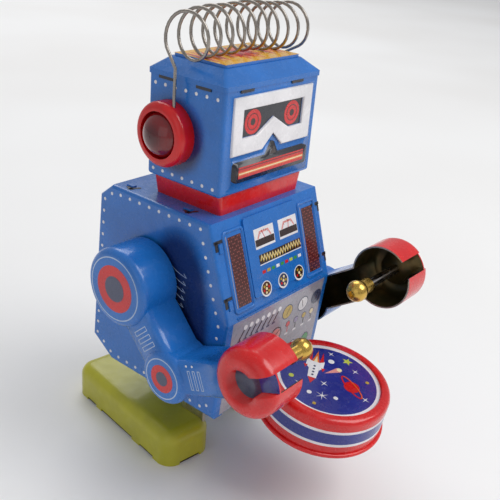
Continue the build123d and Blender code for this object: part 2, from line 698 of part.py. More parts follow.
def gear_points(teeth, turn, centre):
    """Outline of a spur gear that has a tooth centred on the angle turn."""
    pitch_r = GEAR_M * teeth / 2
    base_r = pitch_r * cos(PRESSURE)
    root_r = pitch_r - DEDENDUM * GEAR_M
    tip_r = pitch_r + ADDENDUM * GEAR_M
    half = (pi / 2 - BACKLASH) / teeth + involute(PRESSURE)
    flank = [(root_r, half)]
    start_r = max(base_r, root_r)
    for i in range(FLANK_STEPS + 1):
        radius = start_r + (tip_r - start_r) * i / FLANK_STEPS
        pressure = sqrt(max(0.0, (radius / base_r) ** 2 - 1))
        flank.append((radius, half - (pressure - atan2(pressure, 1))))
    if root_r >= base_r:
        flank.pop(0)
    points = []
    for tooth in range(teeth):
        middle = turn + 2 * pi * tooth / teeth
        side_up = [(r, middle - a) for r, a in flank]
        side_down = [(r, middle + a) for r, a in reversed(flank)]
        points += [(centre[0] + r * cos(a), centre[1] + r * sin(a)) for r, a in side_up + side_down]
    return points


def gear(teeth, turn, centre, x, thickness, bore):
    """A spur gear across X, its near face at x."""
    with BuildPart() as wheel:
        with BuildSketch(side_plane(x)):
            with BuildLine():
                Polyline(*gear_points(teeth, turn, centre), close=True)
            make_face()
            with Locations(centre):
                Circle(bore, mode=Mode.SUBTRACT)
        extrude(amount=thickness)
    return wheel.part


def rod(centre, x_low, x_high, radius):
    """A plain shaft along X."""
    with BuildPart() as shaft:
        with BuildSketch(side_plane(x_low)):
            with Locations(centre):
                Circle(radius)
        extrude(amount=x_high - x_low)
    return shaft.part


def mesh_distance(teeth_a, teeth_b):
    """Distance between the centres of two gears in mesh."""
    return GEAR_M * (teeth_a + teeth_b) / 2


def direction(a, b):
    """Angle of the line from a to b in the side view."""
    return atan2(b[1] - a[1], b[0] - a[0])


crank = (CRANK_Y, CRANK_Z)
key = (KEY_Y, KEY_Z)
shoulder = (SHOULDER_Y, SHOULDER_Z)

# The second arbor meshes with both its neighbours, above the line between them.
reach_key = mesh_distance(GREAT_TEETH, SECOND_LEAVES)
reach_crank = mesh_distance(SECOND_TEETH, CRANK_LEAVES)
between = hypot(key[0] - crank[0], key[1] - crank[1])
along = (between ** 2 + reach_key ** 2 - reach_crank ** 2) / (2 * between)
above = sqrt(reach_key ** 2 - along ** 2)
line = direction(key, crank)
second = (key[0] + along * cos(line) + above * sin(line), key[1] + along * sin(line) - above * cos(line))

reach_governor = mesh_distance(CRANK_TEETH, GOVERNOR_LEAVES)
governor_turn = radians(GOVERNOR_ANGLE)
governor = (crank[0] + reach_governor * cos(governor_turn), crank[1] + reach_governor * sin(governor_turn))

plate_out = PLATE_X + PLATE_T
shaft_end = plate_out + PLAY
plate_low = TORSO_BOTTOM + TIN
pillars = [
    (PLATE_FRONT + PILLAR_EDGE, plate_low + PILLAR_LOW),
    (PLATE_FRONT + PILLAR_EDGE, PLATE_TOP - PILLAR_EDGE),
    (PLATE_BACK - PILLAR_EDGE, PLATE_TOP - PILLAR_EDGE),
    (crank[0] + PILLAR_BACK, plate_low + PILLAR_LOW),
]


with BuildPart() as motor_plate:
    with BuildSketch(side_plane(PLATE_X)):
        with BuildLine():
            Polyline((PLATE_FRONT, plate_low), (BASE_BACK - PLATE_HEEL, plate_low),
                     (PLATE_BACK, plate_low + LOW_CHAMFER),
                     (PLATE_BACK, PLATE_TOP), (shoulder[0] + TONGUE_W / 2, PLATE_TOP),
                     (shoulder[0] + TONGUE_W / 2, shoulder[1] + TONGUE_TOP),
                     (shoulder[0] - TONGUE_W / 2, shoulder[1] + TONGUE_TOP),
                     (shoulder[0] - TONGUE_W / 2, PLATE_TOP), (PLATE_FRONT, PLATE_TOP), close=True)
        make_face()
        for centre, radius in ((crank, CRANK_SHAFT_R), (key, ARBOR_R), (second, SHAFT_R),
                               (governor, SHAFT_R), (shoulder, ARM_SHAFT_R)):
            with Locations(centre):
                Circle(radius + RUN, mode=Mode.SUBTRACT)
        with Locations(*pillars):
            Circle(PILLAR_R / 2, mode=Mode.SUBTRACT)
    extrude(amount=PLATE_T)
save(motor_plate, "motor_plate_left")
with BuildPart() as motor_plate_right:
    add(other_side(motor_plate.part))
save(motor_plate_right, "motor_plate_right")

with BuildPart() as motor_pillars:
    with BuildSketch(side_plane(-PLATE_X)):
        with Locations(*pillars):
            Circle(PILLAR_R)
    extrude(amount=2 * PLATE_X)
    with BuildSketch(side_plane(-plate_out)):
        with Locations(*pillars):
            Circle(PILLAR_R / 2)
    extrude(amount=2 * plate_out)
save(motor_pillars, "motor_pillars")

with BuildPart() as key_arbor:
    add(rod(key, -shaft_end, TORSO_HALF + KEY_GAP + KEY_SHANK, ARBOR_R))
save(key_arbor, "key_arbor")

with BuildPart() as great_wheel:
    add(gear(GREAT_TEETH, direction(key, second), key, GREAT_WHEEL_X, WHEEL_T, ARBOR_R))
save(great_wheel, "great_wheel")


def spiral_points():
    """Both edges of the mainspring's coiled strip, inner end first."""
    count = SPRING_POINTS * SPRING_TURNS
    end = direction(key, pillars[2])
    outer, inner = [], []
    for i in range(count + 1):
        angle = end - 2 * pi * SPRING_TURNS * (1 - i / count)
        radius = SPRING_R0 + (SPRING_R1 - SPRING_R0) * i / count
        for edge, r in ((outer, radius + SPRING_T), (inner, radius)):
            edge.append((key[0] + r * cos(angle), key[1] + r * sin(angle)))
    return outer + inner[::-1]


# The outer end runs to a ring round one pillar.
hook_length = hypot(pillars[2][0] - key[0], pillars[2][1] - key[1])
with BuildPart() as mainspring:
    with BuildSketch(side_plane(SPRING_X)):
        with BuildLine():
            Polyline(*spiral_points(), close=True)
        make_face()
        with Locations(Location((key[0], key[1], 0), (0, 0, degrees(direction(key, pillars[2]))))):
            with Locations(((SPRING_R1 + hook_length - PILLAR_R) / 2, 0)):
                Rectangle(hook_length - PILLAR_R - SPRING_R1, 2 * SPRING_T)
        with Locations(pillars[2]):
            Circle(PILLAR_R + SPRING_T)
            Circle(PILLAR_R, mode=Mode.SUBTRACT)
    extrude(amount=SPRING_W)
save(mainspring, "mainspring")

key_x = TORSO_HALF + KEY_GAP
wing_x = TORSO_HALF + KEY_REACH - KEY_WING_R
key_front = Plane(origin=at(0, KEY_Y, KEY_Z), x_dir=(1, 0, 0), z_dir=(0, -1, 0))

with BuildPart() as winding_key:
    with BuildSketch(side_plane(key_x)):
        with Locations(key):
            Circle(ARBOR_R + KEY_BOSS)
            Circle(ARBOR_R, mode=Mode.SUBTRACT)
    extrude(amount=KEY_SHANK)
    with BuildSketch(side_plane(key_x + KEY_SHANK)):
        with Locations(key):
            Circle(ARBOR_R + KEY_BOSS)
    extrude(amount=KEY_T)
    with BuildSketch(key_front.offset(-KEY_T / 2)):
        with Locations((wing_x, KEY_WING_R), (wing_x, -KEY_WING_R)):
            Circle(KEY_WING_R)
        with Locations(((key_x + KEY_SHANK + KEY_T / 2 + wing_x) / 2, 0)):
            Rectangle(wing_x - key_x - KEY_SHANK - KEY_T / 2, KEY_WEB)
        with Locations((wing_x, KEY_WING_R), (wing_x, -KEY_WING_R)):
            Circle(KEY_WING_R / 2, mode=Mode.SUBTRACT)
    extrude(amount=KEY_T)
save(winding_key, "winding_key")

with BuildPart() as second_shaft:
    add(rod(second, -shaft_end, shaft_end, SHAFT_R))
save(second_shaft, "second_shaft")

half_leaf = pi / SECOND_LEAVES
with BuildPart() as second_pinion:
    add(gear(SECOND_LEAVES, direction(second, key) + half_leaf, second, SECOND_PINION_X, PINION_T, SHAFT_R))
save(second_pinion, "second_pinion")

with BuildPart() as second_wheel:
    add(gear(SECOND_TEETH, direction(second, crank), second, SECOND_WHEEL_X, WHEEL_T, SHAFT_R))
save(second_wheel, "second_wheel")

disc_x = plate_out + PLAY

with BuildPart() as crank_axle:
    add(rod(crank, -disc_x - DISC_T, disc_x + DISC_T, CRANK_SHAFT_R))
save(crank_axle, "crank_axle")

with BuildPart() as crank_pinion:
    add(gear(CRANK_LEAVES, direction(crank, second) + pi / CRANK_LEAVES, crank, CRANK_PINION_X,
             PINION_T, CRANK_SHAFT_R))
save(crank_pinion, "crank_pinion")

with BuildPart() as crank_wheel:
    add(gear(CRANK_TEETH, direction(crank, governor), crank, CRANK_WHEEL_X, WHEEL_T, CRANK_SHAFT_R))
save(crank_wheel, "crank_wheel")


with BuildPart() as governor_shaft:
    add(rod(governor, -shaft_end, shaft_end, SHAFT_R))
save(governor_shaft, "governor_shaft")

with BuildPart() as governor_pinion:
    add(gear(GOVERNOR_LEAVES, direction(governor, crank) + pi / GOVERNOR_LEAVES, governor,
             CRANK_WHEEL_X - (PINION_T - WHEEL_T) / 2, PINION_T, SHAFT_R))
save(governor_pinion, "governor_pinion")

# Heavy disc with two cut-outs, which slows the train down.
with BuildPart() as governor_flywheel:
    with BuildSketch(side_plane(FLYWHEEL_X)):
        with Locations(governor):
            Circle(FLYWHEEL_R)
            Circle(SHAFT_R, mode=Mode.SUBTRACT)
        with Locations(governor):
            with PolarLocations((FLYWHEEL_R + SHAFT_R) / 2, 2):
                Circle(FLYWHEEL_HOLE_R, mode=Mode.SUBTRACT)
    extrude(amount=FLYWHEEL_T)
save(governor_flywheel, "governor_flywheel")

# ================================================================ legs and shoes
pin_gap = PLAY                      # between the leg and the crank disc, and the pin's head
head_x = leg_x + LEG_T + pin_gap

for name, side in (("right", RIGHT), ("left", LEFT)):
    pin = (crank[0] + side * THROW, crank[1])
    with BuildPart() as crank_disc:
        with BuildSketch(side_plane(low_x(side, disc_x, DISC_T))):
            with Locations(crank):
                Circle(DISC_R)
                Circle(CRANK_SHAFT_R, mode=Mode.SUBTRACT)
        extrude(amount=DISC_T)
        add(rod(pin, *sorted((side * (disc_x + DISC_T), side * head_x)), PIN_R))
        add(rod(pin, *sorted((side * head_x, side * (head_x + PIN_HEAD_T))), PIN_HEAD_R))
    save(crank_disc, f"crank_disc_{name}")

    foot_y = leg_y + side * THROW
    with BuildPart() as leg:
        with BuildSketch(side_plane(low_x(side, leg_x, LEG_T))):
            with Locations(pin):
                Circle(LEG_HUB_R)
            with Locations((foot_y, (pin[1] + TIN) / 2)):
                Rectangle(LEG_W, pin[1] - TIN)
            with Locations(pin):
                Circle(PIN_R + RUN, mode=Mode.SUBTRACT)
        extrude(amount=LEG_T)
        with BuildSketch(Plane.XY.offset(TIN)):
            with Locations((side * (leg_x + LEG_SOLE / 2), Y0 + foot_y)):
                Rectangle(LEG_SOLE, LEG_W)
        extrude(amount=LEG_T)
    save(leg, f"leg_{name}")

    shoe_plane = Plane(origin=at(side * SHOE_X, SHOE_Y + side * THROW, 0),
                       x_dir=(side * sin(toe), -cos(toe), 0), z_dir=(0, 0, 1))
    with BuildPart() as shoe_inside:
        with BuildSketch(shoe_plane):
            RectangleRounded(SHOE_L - 2 * TIN, SHOE_W - 2 * TIN, SHOE_CORNER - TIN)
        extrude(amount=SHOE_H - TIN)
        fillet(shoe_inside.faces().sort_by(Axis.Z)[-1].edges(), SHOE_EDGE - TIN)
    with BuildPart() as shoe:
        with BuildSketch(shoe_plane):
            RectangleRounded(SHOE_L, SHOE_W, SHOE_CORNER)
        extrude(amount=SHOE_H)
        fillet(shoe.faces().sort_by(Axis.Z)[-1].edges(), SHOE_EDGE)
        add(shoe_inside.part, mode=Mode.SUBTRACT)
        with BuildSketch(Plane.XY.offset(SHOE_H / 2)):
            with Locations((side * (leg_x + LEG_T / 2), Y0 + foot_y)):
                Rectangle(LEG_T + 2 * RUN, LEG_W + 2 * RUN)
        extrude(amount=SHOE_H, mode=Mode.SUBTRACT)
        # gaps between the tabs along the bottom edge
        with BuildSketch(shoe_plane):
            for start, end in NOTCHES:
                with Locations(((start + end) / 2 * SHOE_L, 0)):
                    Rectangle((end - start) * SHOE_L, 2 * SHOE_W)
            with Locations((SHOE_L / 2, 0), (-SHOE_L / 2, 0)):
                Rectangle(SHOE_CORNER, SHOE_W - 2 * SHOE_CORNER)
        extrude(amount=NOTCH_H, mode=Mode.SUBTRACT)
    save(shoe, f"shoe_{name}")
    with BuildPart() as sole:
        with BuildSketch(shoe_plane):
            RectangleRounded(SHOE_L - 2 * TIN, SHOE_W - 2 * TIN, SHOE_CORNER - TIN)
        extrude(amount=TIN)
    save(sole, f"sole_{name}")

# ================================================================ arms
rim_x = TORSO_HALF + ARM_GAP
elbow = (shoulder[0] + ELBOW[0], shoulder[1] + ELBOW[1])
hand = (shoulder[0] + HAND[0], shoulder[1] + HAND[1])
mouth_turn = degrees(direction(elbow, hand))


def stamped(sketch_at, shape, depth, inset, edge):
    """A flat-topped stamping, right side, open at the rim: one sketch, rounded outside."""
    with BuildPart() as form:
        with BuildSketch(side_plane(-rim_x)):
            with Locations(sketch_at):
                shape()
        extrude(amount=-(depth - inset))
        fillet(form.faces().sort_by(Axis.X)[0].edges(), max(edge - inset, TIN))
    return form.part


def disc(centre, radius, depth, inset, edge):
    """A round boss of the arm."""
    return stamped(centre, lambda: Circle(radius - inset), depth, inset, edge)


def bar(start, end, width, depth, inset, edge):
    """A straight stretch of the arm between two centres."""
    middle = ((start[0] + end[0]) / 2, (start[1] + end[1]) / 2, 0)
    length = hypot(end[0] - start[0], end[1] - start[1])
    turn = degrees(direction(start, end))
    return stamped(Location(middle, (0, 0, turn)), lambda: Rectangle(length, width - 2 * inset),
                   depth, inset, edge)


def arm_form(inset):
    """The right arm as a solid whose every wall is moved inwards by inset."""
    with BuildPart() as form:
        add(disc(shoulder, SHOULDER_R, ARM_DEPTH, inset, DISC_EDGE))
        add(bar(shoulder, elbow, UPPER_W, ARM_DEPTH - BAR_DROP, inset, DISC_EDGE))
        add(disc(elbow, ELBOW_R, ARM_DEPTH - TIN, inset, DISC_EDGE))
        add(bar(elbow, hand, FORE_W, ARM_DEPTH - BAR_DROP, inset, DISC_EDGE))
        add(disc(hand, HAND_R, ARM_DEPTH, inset, HAND_EDGE))
        # palm and the slot that runs from it to the front of the claw
        with BuildSketch(side_plane(-rim_x - ARM_DEPTH)):
            with Locations(hand):
                Circle(PALM_R + inset)
            with Locations(Location((hand[0], hand[1], 0), (0, 0, mouth_turn))):
                with Locations((HAND_R, 0)):
                    Rectangle(2 * HAND_R, MOUTH_W + 2 * inset)
        extrude(amount=SLOT_DEPTH + inset, mode=Mode.SUBTRACT)
    return form.part


with BuildPart() as arm_shell_right:
    add(arm_form(0))
    add(arm_form(TIN), mode=Mode.SUBTRACT)
    # the slot stays open through the front wall of the claw
    with BuildSketch(side_plane(-rim_x)):
        with Locations(Location((hand[0], hand[1], 0), (0, 0, mouth_turn))):
            with Locations((HAND_R, 0)):
                Rectangle(MOUTH_W, MOUTH_W)
    extrude(amount=-(ARM_DEPTH - SLOT_DEPTH - TIN), mode=Mode.SUBTRACT)
save(arm_shell_right, "arm_shell_right")

shaft_in = PLATE_X - PLAY
shaft_out = rim_x + ARM_DEPTH - TIN
lever_x = head_x + PIN_HEAD_T + 2 * PLAY
palm_x = rim_x + ARM_DEPTH - SLOT_DEPTH - TIN

with BuildPart() as arm_shaft_right:
    add(rod(shoulder, -shaft_out, -shaft_in, ARM_SHAFT_R))
save(arm_shaft_right, "arm_shaft_right")

# The lever hangs from the shaft; its lower end is forked.
with BuildPart() as arm_lever_right:
    with BuildSketch(side_plane(-lever_x - LEVER_T)):
        with Locations(shoulder):
            Circle(ARM_SHAFT_R + LEVER_BOSS)
        with Locations((shoulder[0], shoulder[1] - LEVER_REACH / 2)):
            Rectangle(LEVER_W, LEVER_REACH)
        with Locations(shoulder):
            Circle(ARM_SHAFT_R, mode=Mode.SUBTRACT)
        with Locations((shoulder[0], shoulder[1] - LEVER_REACH)):
            Rectangle(LEVER_W / 3, 2 * LEVER_W, mode=Mode.SUBTRACT)
    extrude(amount=LEVER_T)
save(arm_lever_right, "arm_lever_right")

with BuildPart() as stick_rod_right:
    add(rod(hand, -palm_x, -BALL_X, STICK_R))
save(stick_rod_right, "stick_rod_right")

with BuildPart() as stick_ball_right:
    with Locations(at(-BALL_X, *hand)):
        Sphere(BALL_R)
    add(rod(hand, -BALL_X - BALL_R - COLLAR_L, -BALL_X, COLLAR_R))
    add(rod(hand, -BALL_X - BALL_R - COLLAR_L, -BALL_X, STICK_R), mode=Mode.SUBTRACT)
    add(rod(hand, -BALL_X + BALL_R - DIMPLE_DEPTH, -BALL_X + BALL_R, DIMPLE_R), mode=Mode.SUBTRACT)
save(stick_ball_right, "stick_ball_right")

# The left arm is the right one mirrored and raised.
shoulder_axis = Axis(at(0, *shoulder), (1, 0, 0))
for name, piece in (("arm_shell", arm_shell_right), ("arm_shaft", arm_shaft_right),
                    ("arm_lever", arm_lever_right), ("stick_rod", stick_rod_right),
                    ("stick_ball", stick_ball_right)):
    with BuildPart() as left_piece:
        add(other_side(piece.part).rotate(shoulder_axis, -LEFT_RAISE))
    save(left_piece, f"{name}_left")
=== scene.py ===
"""Finishes and small pieces of a tin wind-up drummer robot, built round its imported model."""

import math

import bmesh
import bpy
from mathutils import Matrix, Vector
from mathutils.bvhtree import BVHTree


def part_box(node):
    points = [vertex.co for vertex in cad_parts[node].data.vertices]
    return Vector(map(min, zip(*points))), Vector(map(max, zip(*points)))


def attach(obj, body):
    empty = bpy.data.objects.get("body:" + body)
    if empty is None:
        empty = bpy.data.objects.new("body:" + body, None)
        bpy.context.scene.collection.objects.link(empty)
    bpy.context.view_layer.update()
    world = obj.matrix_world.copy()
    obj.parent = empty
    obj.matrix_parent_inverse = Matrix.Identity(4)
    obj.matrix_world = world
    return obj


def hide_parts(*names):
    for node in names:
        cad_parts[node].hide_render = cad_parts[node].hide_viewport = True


bl_info = {
    "name": "Tin drummer robot",
    "version": (1, 0, 0),
    "blender": (4, 5, 0),
    "location": "View3D > Sidebar > Tin robot",
    "description": "Prints, rivets, antenna and finishes of a tin wind-up robot",
    "category": "Add Mesh",
}

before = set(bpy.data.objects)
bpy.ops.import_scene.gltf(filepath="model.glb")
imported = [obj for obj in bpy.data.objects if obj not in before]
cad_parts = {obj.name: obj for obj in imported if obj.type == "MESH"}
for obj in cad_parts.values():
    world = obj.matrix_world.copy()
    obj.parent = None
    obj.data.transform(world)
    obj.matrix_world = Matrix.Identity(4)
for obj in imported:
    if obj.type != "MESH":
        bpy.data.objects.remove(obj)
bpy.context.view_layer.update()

# ------------------------------------------------------------------ places
# Millimetres in the drawing frame: y from the shoulder line, z from the floor.
# The robot faces -y and its right side is at -x.
MM = 0.001
RIGHT, LEFT = -1, 1
SIDES = (("right", RIGHT), ("left", LEFT))
SHOULDER = (2.3, 53.9)


def span(node):
    """Lowest and highest corner of a CAD node, in millimetres."""
    low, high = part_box(node)
    return low / MM, high / MM


def middle(node):
    """Centre of a CAD node's box, in millimetres."""
    low, high = span(node)
    return (low + high) / 2


SHIFT = middle("arm_shaft_right").y - SHOULDER[0]     # from the drawing frame to the robot's own


def place(x, y, z):
    """A point of the drawing frame, in the robot's frame and in metres."""
    return Vector((x, y + SHIFT, z)) * MM


torso_low, torso_high = span("torso_side_right")
head_low, head_high = span("head_shell")
cap_high = span("head_cap")[1]
arm_low = span("arm_shell_right")[0]
drum_low, drum_high = span("drum_shell")
ear_middle = middle("ear_right")

TORSO_HALF = -torso_low.x
TORSO_TOP = torso_high.z
HEAD_HALF = head_high.x
HEAD_BOTTOM = head_low.z
HEAD_TOP = head_high.z
HEAD_FRONT = head_low.y - SHIFT
HEAD_BACK = head_high.y - SHIFT
EAR = (ear_middle.y - SHIFT, ear_middle.z)
CLAW_OUT = -arm_low.x                     # outer face of the claws
ARM_OUT = 0.4 - span("arm_shaft_right")[0].x    # outer face of the arms' round bosses
BAR_OUT = ARM_OUT - 1.3                   # outer face of the straight stretches
ELBOW_OUT = ARM_OUT - 0.4
ELBOW = (SHOULDER[0] - 17.0, SHOULDER[1] - 18.1)
HAND = (SHOULDER[0] - 41.6, SHOULDER[1] - 7.7)
HAND_R = 8.7
PALM_R = 4.0
SLOT_DEPTH = 3.0
FORE_START = 5.2                          # the forearm leans out from here to FORE_END
FORE_END = 21.2
FORE_LEAN = 0.0
LEFT_RAISE = math.radians(11.5)           # the left arm stands this much higher

TORSO_OUTLINE = ((-16.8, 74.0), (-24.6, 50.0), (-22.1, 21.3), (17.3, 21.3), (25.0, 26.5),
                 (21.8, 70.3), (17.3, 74.0))
CHEST_TOP = (TORSO_OUTLINE[0][0], TORSO_TOP)
BELT = TORSO_OUTLINE[1]
BELLY_FOOT = TORSO_OUTLINE[2]

DRUM_TILT = math.radians(9.0)
DRUM_EDGE = 1.5
DRUM_RIM = 3.0
DRUM_SINK = 0.7
DRUM_R = drum_high.x
_ring = DRUM_R - DRUM_EDGE                # centre line of the drum's rounded rim
DRUM_Y = drum_low.y - SHIFT + _ring * math.cos(DRUM_TILT) + DRUM_EDGE * (1 - math.sin(DRUM_TILT))
DRUM_Z = drum_high.z - _ring * math.sin(DRUM_TILT) - DRUM_EDGE * (1 - math.cos(DRUM_TILT))

WIRE_FORWARD = -3.0                       # the antenna's ends rise this far behind the ears' centres
WIRE_KINK = 3.5
COIL_LOOPS = 9
RUN = 0.05
BOW = 0.9                                 # the coil's ends sag this much below its middle

INK = 0.025                               # thickness that one layer of ink is drawn with


# ------------------------------------------------------------------ settings
def colour(name, hexa, about):
    """A colour property whose default is an sRGB hex value."""
    return bpy.props.FloatVectorProperty(name=name, description=about, subtype="COLOR", size=4,
                                         min=0, max=1, default=linear(hexa))


def length(name, millimetres, about):
    """A length property, in metres."""
    return bpy.props.FloatProperty(name=name, description=about, default=millimetres * MM,
                                   unit="LENGTH", precision=5)


def linear(hexa):
    """An sRGB hex colour as linear RGBA."""
    parts = [int(hexa[i:i + 2], 16) / 255 for i in (1, 3, 5)]
    return tuple(c / 12.92 if c <= 0.04045 else ((c + 0.055) / 1.055) ** 2.4 for c in parts) + (1.0,)


class RobotColours(bpy.types.PropertyGroup):
    blue: colour("Blue", "#1E72C8", "Blue of the body's tinplate")
    # shade is the navy of the painted shade: the arm's shadow on the torso sides and the ring round each ear.
    shade: colour("Shade", "#122A66", "Dark blue of the airbrushed shadows")
    red: colour("Red", "#E01414", "Red of the claws, the neck and the drum")
    yellow: colour("Yellow", "#BDB81A", "Yellow-green of the shoes")
    plastic: colour("Ear red", "#D80D10", "Red of the moulded ears")
    brass: colour("Brass", "#D9B25A", "Turned brass of the drumsticks' balls")


class RobotSizes(bpy.types.PropertyGroup):
    dot: length("Rivet dot", 0.46, "Radius of an embossed rivet dot")
    dot_height: length("Rivet height", 0.16, "Height of an embossed rivet dot")
    dot_step: length("Rivet spacing", 3.5, "Distance between rivet dots on the torso")
    wire: length("Antenna wire", 0.4, "Radius of the antenna's spring wire")
    coil: length("Antenna coil", 5.6, "Radius of the antenna's coil, to the wire's centre")
    mesh_step: length("Grille mesh", 0.72, "Distance between the holes of the chest grilles")


class StageSettings(bpy.types.PropertyGroup):
    key: bpy.props.FloatProperty(name="Key lamp", description="Power of the large lamp above the front",
                                 default=2.9, min=0, unit="POWER")
    fill: bpy.props.FloatProperty(name="Fill lamp", description="Power of the lamp on the camera's side",
                                  default=0.35, min=0, unit="POWER")
    back: bpy.props.FloatProperty(name="Backdrop lamp", description="Power of the lamp over the far floor",
                                  default=6.0, min=0, unit="POWER")
    sky: bpy.props.FloatProperty(name="Surroundings", description="Brightness of the white surroundings",
                                 default=0.45, min=0)
    floor: length("Floor", 4000, "Width of the floor")


# ------------------------------------------------------------------ materials
def add(tree, kind, inputs=(), **settings):
    """Adds a node with its settings; an input takes a value or the socket that feeds it."""
    made = tree.nodes.new(kind)
    for name, value in settings.items():
        setattr(made, name, value)
    for name, value in dict(inputs).items():
        if isinstance(value, bpy.types.NodeSocket):
            tree.links.new(value, made.inputs[name])
        else:
            made.inputs[name].default_value = value
    return made


def start(name):
    """A new material: its tree, its shader and Object coordinates."""
    material = bpy.data.materials.new(name)
    material.use_nodes = True
    tree = material.node_tree
    tree.nodes.clear()
    shader = add(tree, "ShaderNodeBsdfPrincipled")
    output = add(tree, "ShaderNodeOutputMaterial")
    tree.links.new(shader.outputs["BSDF"], output.inputs["Surface"])
    coords = add(tree, "ShaderNodeTexCoord").outputs["Object"]
    return material, tree, shader, coords


def grain(tree, coords, millimetres, detail=2.0):
    """Noise whose blotches are about so many millimetres across."""
    return add(tree, "ShaderNodeTexNoise", {"Vector": coords, "Scale": 1 / (millimetres * MM),
                                            "Detail": detail, "Roughness": 0.55}).outputs["Fac"]


def spread(tree, value, low, high, to_low, to_high, smooth=True):
    """Maps a value from one range to another and clamps it."""
    kind = "SMOOTHSTEP" if smooth else "LINEAR"
    return add(tree, "ShaderNodeMapRange", {"Value": value, "From Min": low, "From Max": high,
                                            "To Min": to_low, "To Max": to_high},
               interpolation_type=kind).outputs["Result"]


def blend(tree, mask, under, over):
    """Colour over laid on colour under where the mask is 1."""
    mixed = add(tree, "ShaderNodeMix", {0: mask, 6: under, 7: over}, data_type="RGBA")
    return mixed.outputs[2]


def spot(tree, coords, centre, radii, fade):
    """1 inside an ellipsoid, falling smoothly to 0 over the share fade of its radius."""
    scale = [1 / (r * MM) for r in radii]
    offset = [-c * s for c, s in zip(place(*centre), scale)]
    moved = add(tree, "ShaderNodeMapping", {"Vector": coords, "Scale": scale, "Location": offset})
    reach = add(tree, "ShaderNodeVectorMath", {0: moved.outputs["Vector"]}, operation="LENGTH")
    return spread(tree, reach.outputs["Value"], 1 - fade, 1, 1, 0)


def varnish(tree, shader, coords, tint, roughness=0.2, wave=0.12):
    """Clear stoved varnish over ink: mottled colour, soft ripple of rolled sheet, fine scuffs."""
    blotch = spread(tree, grain(tree, coords, 9, 4), 0.3, 0.7, 0.0, 0.16)
    dusk = blend(tree, blotch, tint, linear("#0A1226"))
    scuff = spread(tree, grain(tree, coords, 0.5, 5), 0.66, 0.78, 0.0, 0.22)
    tree.links.new(blend(tree, scuff, dusk, linear("#DDE2EA")), shader.inputs["Base Color"])
    matt = spread(tree, grain(tree, coords, 2.2, 3), 0.3, 0.75, roughness, roughness + 0.14)
    tree.links.new(matt, shader.inputs["Roughness"])
    ripple = grain(tree, coords, 6, 2)
    peel = grain(tree, coords, 0.7, 2)
    height = add(tree, "ShaderNodeMath", {0: peel, 1: 0.12, 2: ripple}, operation="MULTIPLY_ADD")
    bump = add(tree, "ShaderNodeBump", {"Strength": wave, "Distance": 0.4 * MM,
                                        "Height": height.outputs["Value"]})
    tree.links.new(bump.outputs["Normal"], shader.inputs["Normal"])
    shader.inputs["IOR"].default_value = 1.5
    shader.inputs["Coat Weight"].default_value = 0.35
    shader.inputs["Coat Roughness"].default_value = 0.08


def litho(name, tint, roughness=0.2):
    """Lithographed tinplate: printed ink under clear varnish, so glossy, even and slightly wavy."""
    material, tree, shader, coords = start(name)
    varnish(tree, shader, coords, linear(tint) if isinstance(tint, str) else tuple(tint), roughness)
    return material


def torso_side_litho_with_painted_shade(colours):
    """Blue torso side with painted navy shade where the arm's shadow falls, in front of and below the arm."""
    material, tree, shader, coords = start("litho_blue_torso_side_painted_shade")
    # Painted shade: navy where the arm's shadow falls on the side, and a darker, near-black core right behind the
    # upper arm.
    patch = spot(tree, coords, (0, -7.6, 46.5), (90, 12.6, 27.5), 0.26)
    deep = spot(tree, coords, (0, -7.0, 47.0), (90, 9.5, 17.0), 0.75)
    tint = blend(tree, patch, tuple(colours.blue), tuple(colours.shade))
    tint = blend(tree, spread(tree, deep, 0, 1, 0, 0.7), tint, linear("#080D24"))
    varnish(tree, shader, coords, tint)
    return material


def head_litho_with_painted_shade(colours):
    """Blue head with painted navy shade round each ear."""
    material, tree, shader, coords = start("litho_blue_head_painted_shade")
    # Painted shade: a navy ring round each ear, faded out towards the front face.
    ring = spot(tree, coords, (0, EAR[0] - 1.6, EAR[1] - 0.8), (90, 10.6, 10.4), 0.30)
    front = spread(tree, add(tree, "ShaderNodeSeparateXYZ", {0: coords}).outputs["Y"],
                   (HEAD_FRONT + SHIFT) * MM, (HEAD_FRONT + SHIFT + 1.0) * MM, 0, 1)
    ear_painted_shade = add(tree, "ShaderNodeMath", {0: ring, 1: front}, operation="MULTIPLY").outputs["Value"]
    varnish(tree, shader, coords, blend(tree, ear_painted_shade, tuple(colours.blue), tuple(colours.shade)))
    return material


